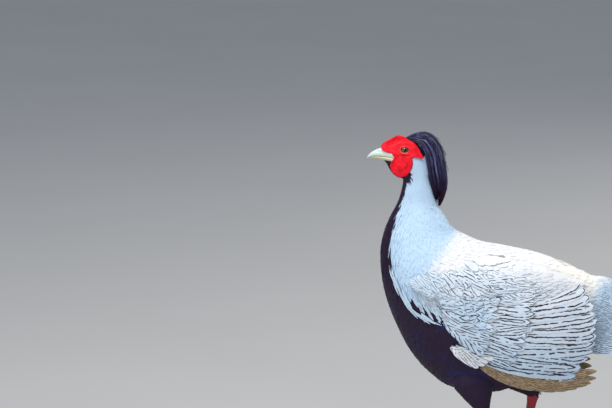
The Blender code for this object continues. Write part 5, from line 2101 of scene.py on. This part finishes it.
def shank_rings(start, end):
    """A scaled shank: two columns of plates down its front and small scales behind."""
    along = end - start
    sideways, forwards = leg_axes(along)
    forwards = forwards * -np.sign(forwards[0])
    place = np.linspace(-0.03, 1, 220)[:, None]
    turn = np.radians(np.arange(56) * 360 / 56)[None, :]
    half = profile(SHANK_SIZES, np.clip(place, 0, 1))
    half = half * np.where(place < 0, 0.55, 1.0)
    ahead = np.cos(turn)
    front = ramp(ahead, 0.3, 0.5)
    rear = ramp(-ahead, -0.1, 0.2)
    column = np.where(np.sin(turn) > 0, 0.5, 0.0)
    step = (place * SHANK_PLATES + column) % 1
    small = (place * SHANK_PLATES * 1.7 + 0.5 * np.floor(turn * 3)) % 1
    middle = ramp(-abs(np.sin(turn)), -0.16, -0.04) * front
    plate = 0.5 * (1 - step**4) * front + 0.28 * (1 - small**3) * rear
    plate = plate * (1 - 0.7 * middle)
    groove = ramp(step, 0.82, 0.97) * front + 0.7 * ramp(small, 0.8, 0.95) * rear
    groove = np.clip(groove + 0.7 * middle, 0, 1)
    wide = half * SHANK_FLATTEN[0] + plate
    deep = half * SHANK_FLATTEN[1] + plate
    points = (
        start
        + place[..., None] * along
        + (wide * np.sin(turn))[..., None] * sideways
        + (deep * np.cos(turn))[..., None] * forwards
    )
    return points, groove


def toe_way(side, name):
    """The start, direction, length and width of a toe."""
    turn, length, wide = TOES[name]
    if name != "hind":
        turn = turn * side
    angle = math.radians(180 - turn + TOE_TURN[side])
    way = np.array((math.cos(angle), math.sin(angle), 0))
    start = np.array((FOOT[side][0], side * FOOT[side][1], 0), float)
    return start, way, length, wide


def toe_rings(side, name):
    """A toe with swollen joints, scutes above and a flat underside."""
    start, way, length, wide = toe_way(side, name)
    across = np.cross(way, (0, 0, 1))
    place = np.linspace(0, 1, 90)[:, None]
    turn = np.radians(np.arange(32) * 360 / 32)[None, :]
    joints = 2 if name == "hind" else 3
    half = wide / 2 * (1 - 0.34 * place) * (1 + 0.06 * np.cos(2 * math.pi * joints * place))
    half = half * np.sqrt(np.clip(1 - ((place - 0.9) / 0.13).clip(0, 1) ** 2, 0.1, 1))
    high = wide * 0.44
    if name == "hind":
        height = 5.0 * (1 - place) + 3
    else:
        height = 3.2 + (1 - place) * 1.2
    height = np.minimum(height, high + 0.6)
    upper = ramp(np.sin(turn), 0.0, 0.45)
    step = (place * length / TOE_SCUTE_LENGTH) % 1
    plate = 0.42 * (1 - step**4) * upper
    groove = ramp(step, 0.8, 0.96) * upper
    shrink = half / (wide / 2)
    out = (half + plate) * np.cos(turn)
    up = (high * (0.35 + 0.65 * shrink) + plate) * np.sin(turn)
    points = (
        start
        + (2 + (length - 2) * place)[..., None] * way
        + out[..., None] * across
        + (height + up)[..., None] * np.array((0, 0, 1))
    )
    points[..., 2] = np.maximum(points[..., 2], 0.0)
    return points, groove


def ankle_rings(side):
    """The foot's root, from inside the shank down to its flat pad."""
    ankle = leg_spot(FOOT, side)
    along = ankle - leg_spot(HOCK, side)
    share = np.linspace(0, 1, 30)[:, None]
    keys, *columns = zip(*ANKLE_SIZES)
    wide, deep, height = (np.interp(share, keys, column) for column in columns)
    turn = np.radians(np.arange(40) * 9.0)[None, :]
    x = ankle[0] + along[0] / along[2] * np.maximum(height - ankle[2], 0)
    step = (share * 7) % 1
    plate = 0.35 * (1 - step**4) * ramp(-np.cos(turn), 0.0, 0.5)
    points = np.stack(
        (
            x + (deep + plate) * np.cos(turn),
            ankle[1] + (wide + plate) * np.sin(turn),
            height + 0 * turn,
        ),
        -1,
    )
    return points, ramp(step, 0.8, 0.96) * ramp(-np.cos(turn), 0.0, 0.5)


def claw_rings(side, name):
    """A claw that curves down from the end of its toe."""
    start, way, length, wide = toe_way(side, name)
    across = np.cross(way, (0, 0, 1))
    place = np.linspace(0, 1, 24)[:, None]
    turn = np.radians(np.arange(20) * 18.0)[None, :]
    size = (1 - place**1.6) * 0.95 + 0.06
    forth = length - 1.2 + (CLAW_LENGTH + 1.4) * place
    height = 3.3 + 0.9 * np.sin(math.pi * place) - 2.7 * place**2
    out = wide * 0.26 * size * np.cos(turn)
    up = wide * 0.31 * size * np.sin(turn)
    points = (
        start
        + forth[..., None] * way
        + out[..., None] * across
        + (height + up)[..., None] * np.array((0, 0, 1))
    )
    points[..., 2] = np.maximum(points[..., 2], 0.05)
    return points, 0.0


def spur_rings(side):
    """A spur that points back and a little inwards from the shank."""
    hock = leg_spot(HOCK, side)
    root = hock + (leg_spot(FOOT, side) - hock) * SPUR_PLACE
    place = np.linspace(-0.12, 1, 30)[:, None]
    turn = np.radians(np.arange(20) * 18.0)[None, :]
    half = profile(SPUR_SIZES, np.clip(place, 0, 1))
    points = np.stack(
        (
            root[0] + 2 + SPUR_LENGTH * place + 0 * turn,
            root[1] - side * 5 * place + half * np.cos(turn),
            root[2] + 3.5 * place * abs(place) + half * np.sin(turn),
        ),
        -1,
    )
    return points, 0.0


def legs():
    """Shanks, feet, claws and spurs."""
    for side_name, side in SIDES.items():
        rings = shank_rings(leg_spot(HOCK, side), leg_spot(FOOT, side))
        shank = joined_tubes(side_name + "_scaled_shank", [rings], LEG)
        settle(shank, "leg_skin", side_name + "_shank")
        parts = [ankle_rings(side), *(toe_rings(side, toe) for toe in TOES)]
        foot = joined_tubes(side_name + "_scaled_foot", parts, LEG)
        settle(foot, "leg_skin", side_name + "_foot")
        parts = [claw_rings(side, toe) for toe in TOES]
        claws = joined_tubes(side_name + "_claws", parts, CLAW_HORN)
        settle(claws, "claw_horn", *(side_name + "_claw_" + toe for toe in TOES))
        spur = joined_tubes(side_name + "_horn_spur", [spur_rings(side)], CLAW_HORN)
        settle(spur, "claw_horn", side_name + "_spur")


# Floor, light and camera

# The camera in the bird's own millimetres, and its lens
CAMERA_LENS = 200
SENSOR_WIDTH = 36
CAMERA_PLACE = (-235, -4522, 1161)
CAMERA_AIM = (-235, 0, 374)

# Each light in metres: name, place, aim, size, power and colour
LIGHTS = (
    ("key", (-0.6, -0.9, 2.4), (-0.25, 0, 0.3), 1.4, 47, (1.0, 0.97, 0.93)),
    ("fill", (-2.2, -2.0, 1.0), (-0.3, 0, 0.3), 1.8, 20, (0.88, 0.94, 1.0)),
    ("back", (1.4, 1.8, 1.8), (0, 0, 0.3), 1.6, 26, (1.0, 0.98, 0.95)),
)
SKY_COLOUR = (0.78, 0.86, 1.0, 1)
SKY_STRENGTH = 0.46
FLOOR_REACH = 30.0


def stage():
    """The floor, the lights, the sky and the camera."""
    reach = FLOOR_REACH
    corners = ((-reach, -reach, 0), (reach, -reach, 0), (reach, reach, 0), (-reach, reach, 0))
    floor = mesh_object("floor", corners, [(0, 1, 2, 3)])
    floor.data.materials.append(floor_material())
    for name, place, aim, size, power, colour in LIGHTS:
        light = bpy.data.lights.new(name, "AREA")
        light.energy = power
        light.size = size
        light.color = colour
        lamp = bpy.data.objects.new(name, light)
        lamp.location = place
        way = Vector(aim) - Vector(place)
        lamp.rotation_euler = way.to_track_quat("-Z", "Y").to_euler()
        bpy.context.scene.collection.objects.link(lamp)
    world = bpy.data.worlds.new("studio")
    world.use_nodes = True
    sky = world.node_tree.nodes["Background"].inputs
    sky["Color"].default_value = SKY_COLOUR
    sky["Strength"].default_value = SKY_STRENGTH
    bpy.context.scene.world = world
    bpy.context.scene.view_settings.view_transform = "Standard"
    view = bpy.data.cameras.new("camera")
    view.lens = CAMERA_LENS
    view.sensor_width = SENSOR_WIDTH
    camera = bpy.data.objects.new("camera", view)
    camera.location = metres(CAMERA_PLACE)
    way = Vector(metres(CAMERA_AIM)) - camera.location
    camera.rotation_euler = way.to_track_quat("-Z", "Y").to_euler()
    bpy.context.scene.collection.objects.link(camera)
    bpy.context.scene.camera = camera


# The pieces are made in the order of their random draws
BODY_TREE = BVHTree.FromPolygons(
    body_points.reshape(-1, 3).tolist(), grid_faces(*body_points.shape[:2], False)
)
skin()
body_coat()
thigh_coat()
wings(BODY_TREE)
scapular_coat()
streaming_hackles()
rump_coat()
tail()
crest()
head(BODY_TREE)
legs()
stage()
for helper in list(HELPERS.objects):
    bpy.data.objects.remove(helper)
bpy.data.collections.remove(HELPERS)
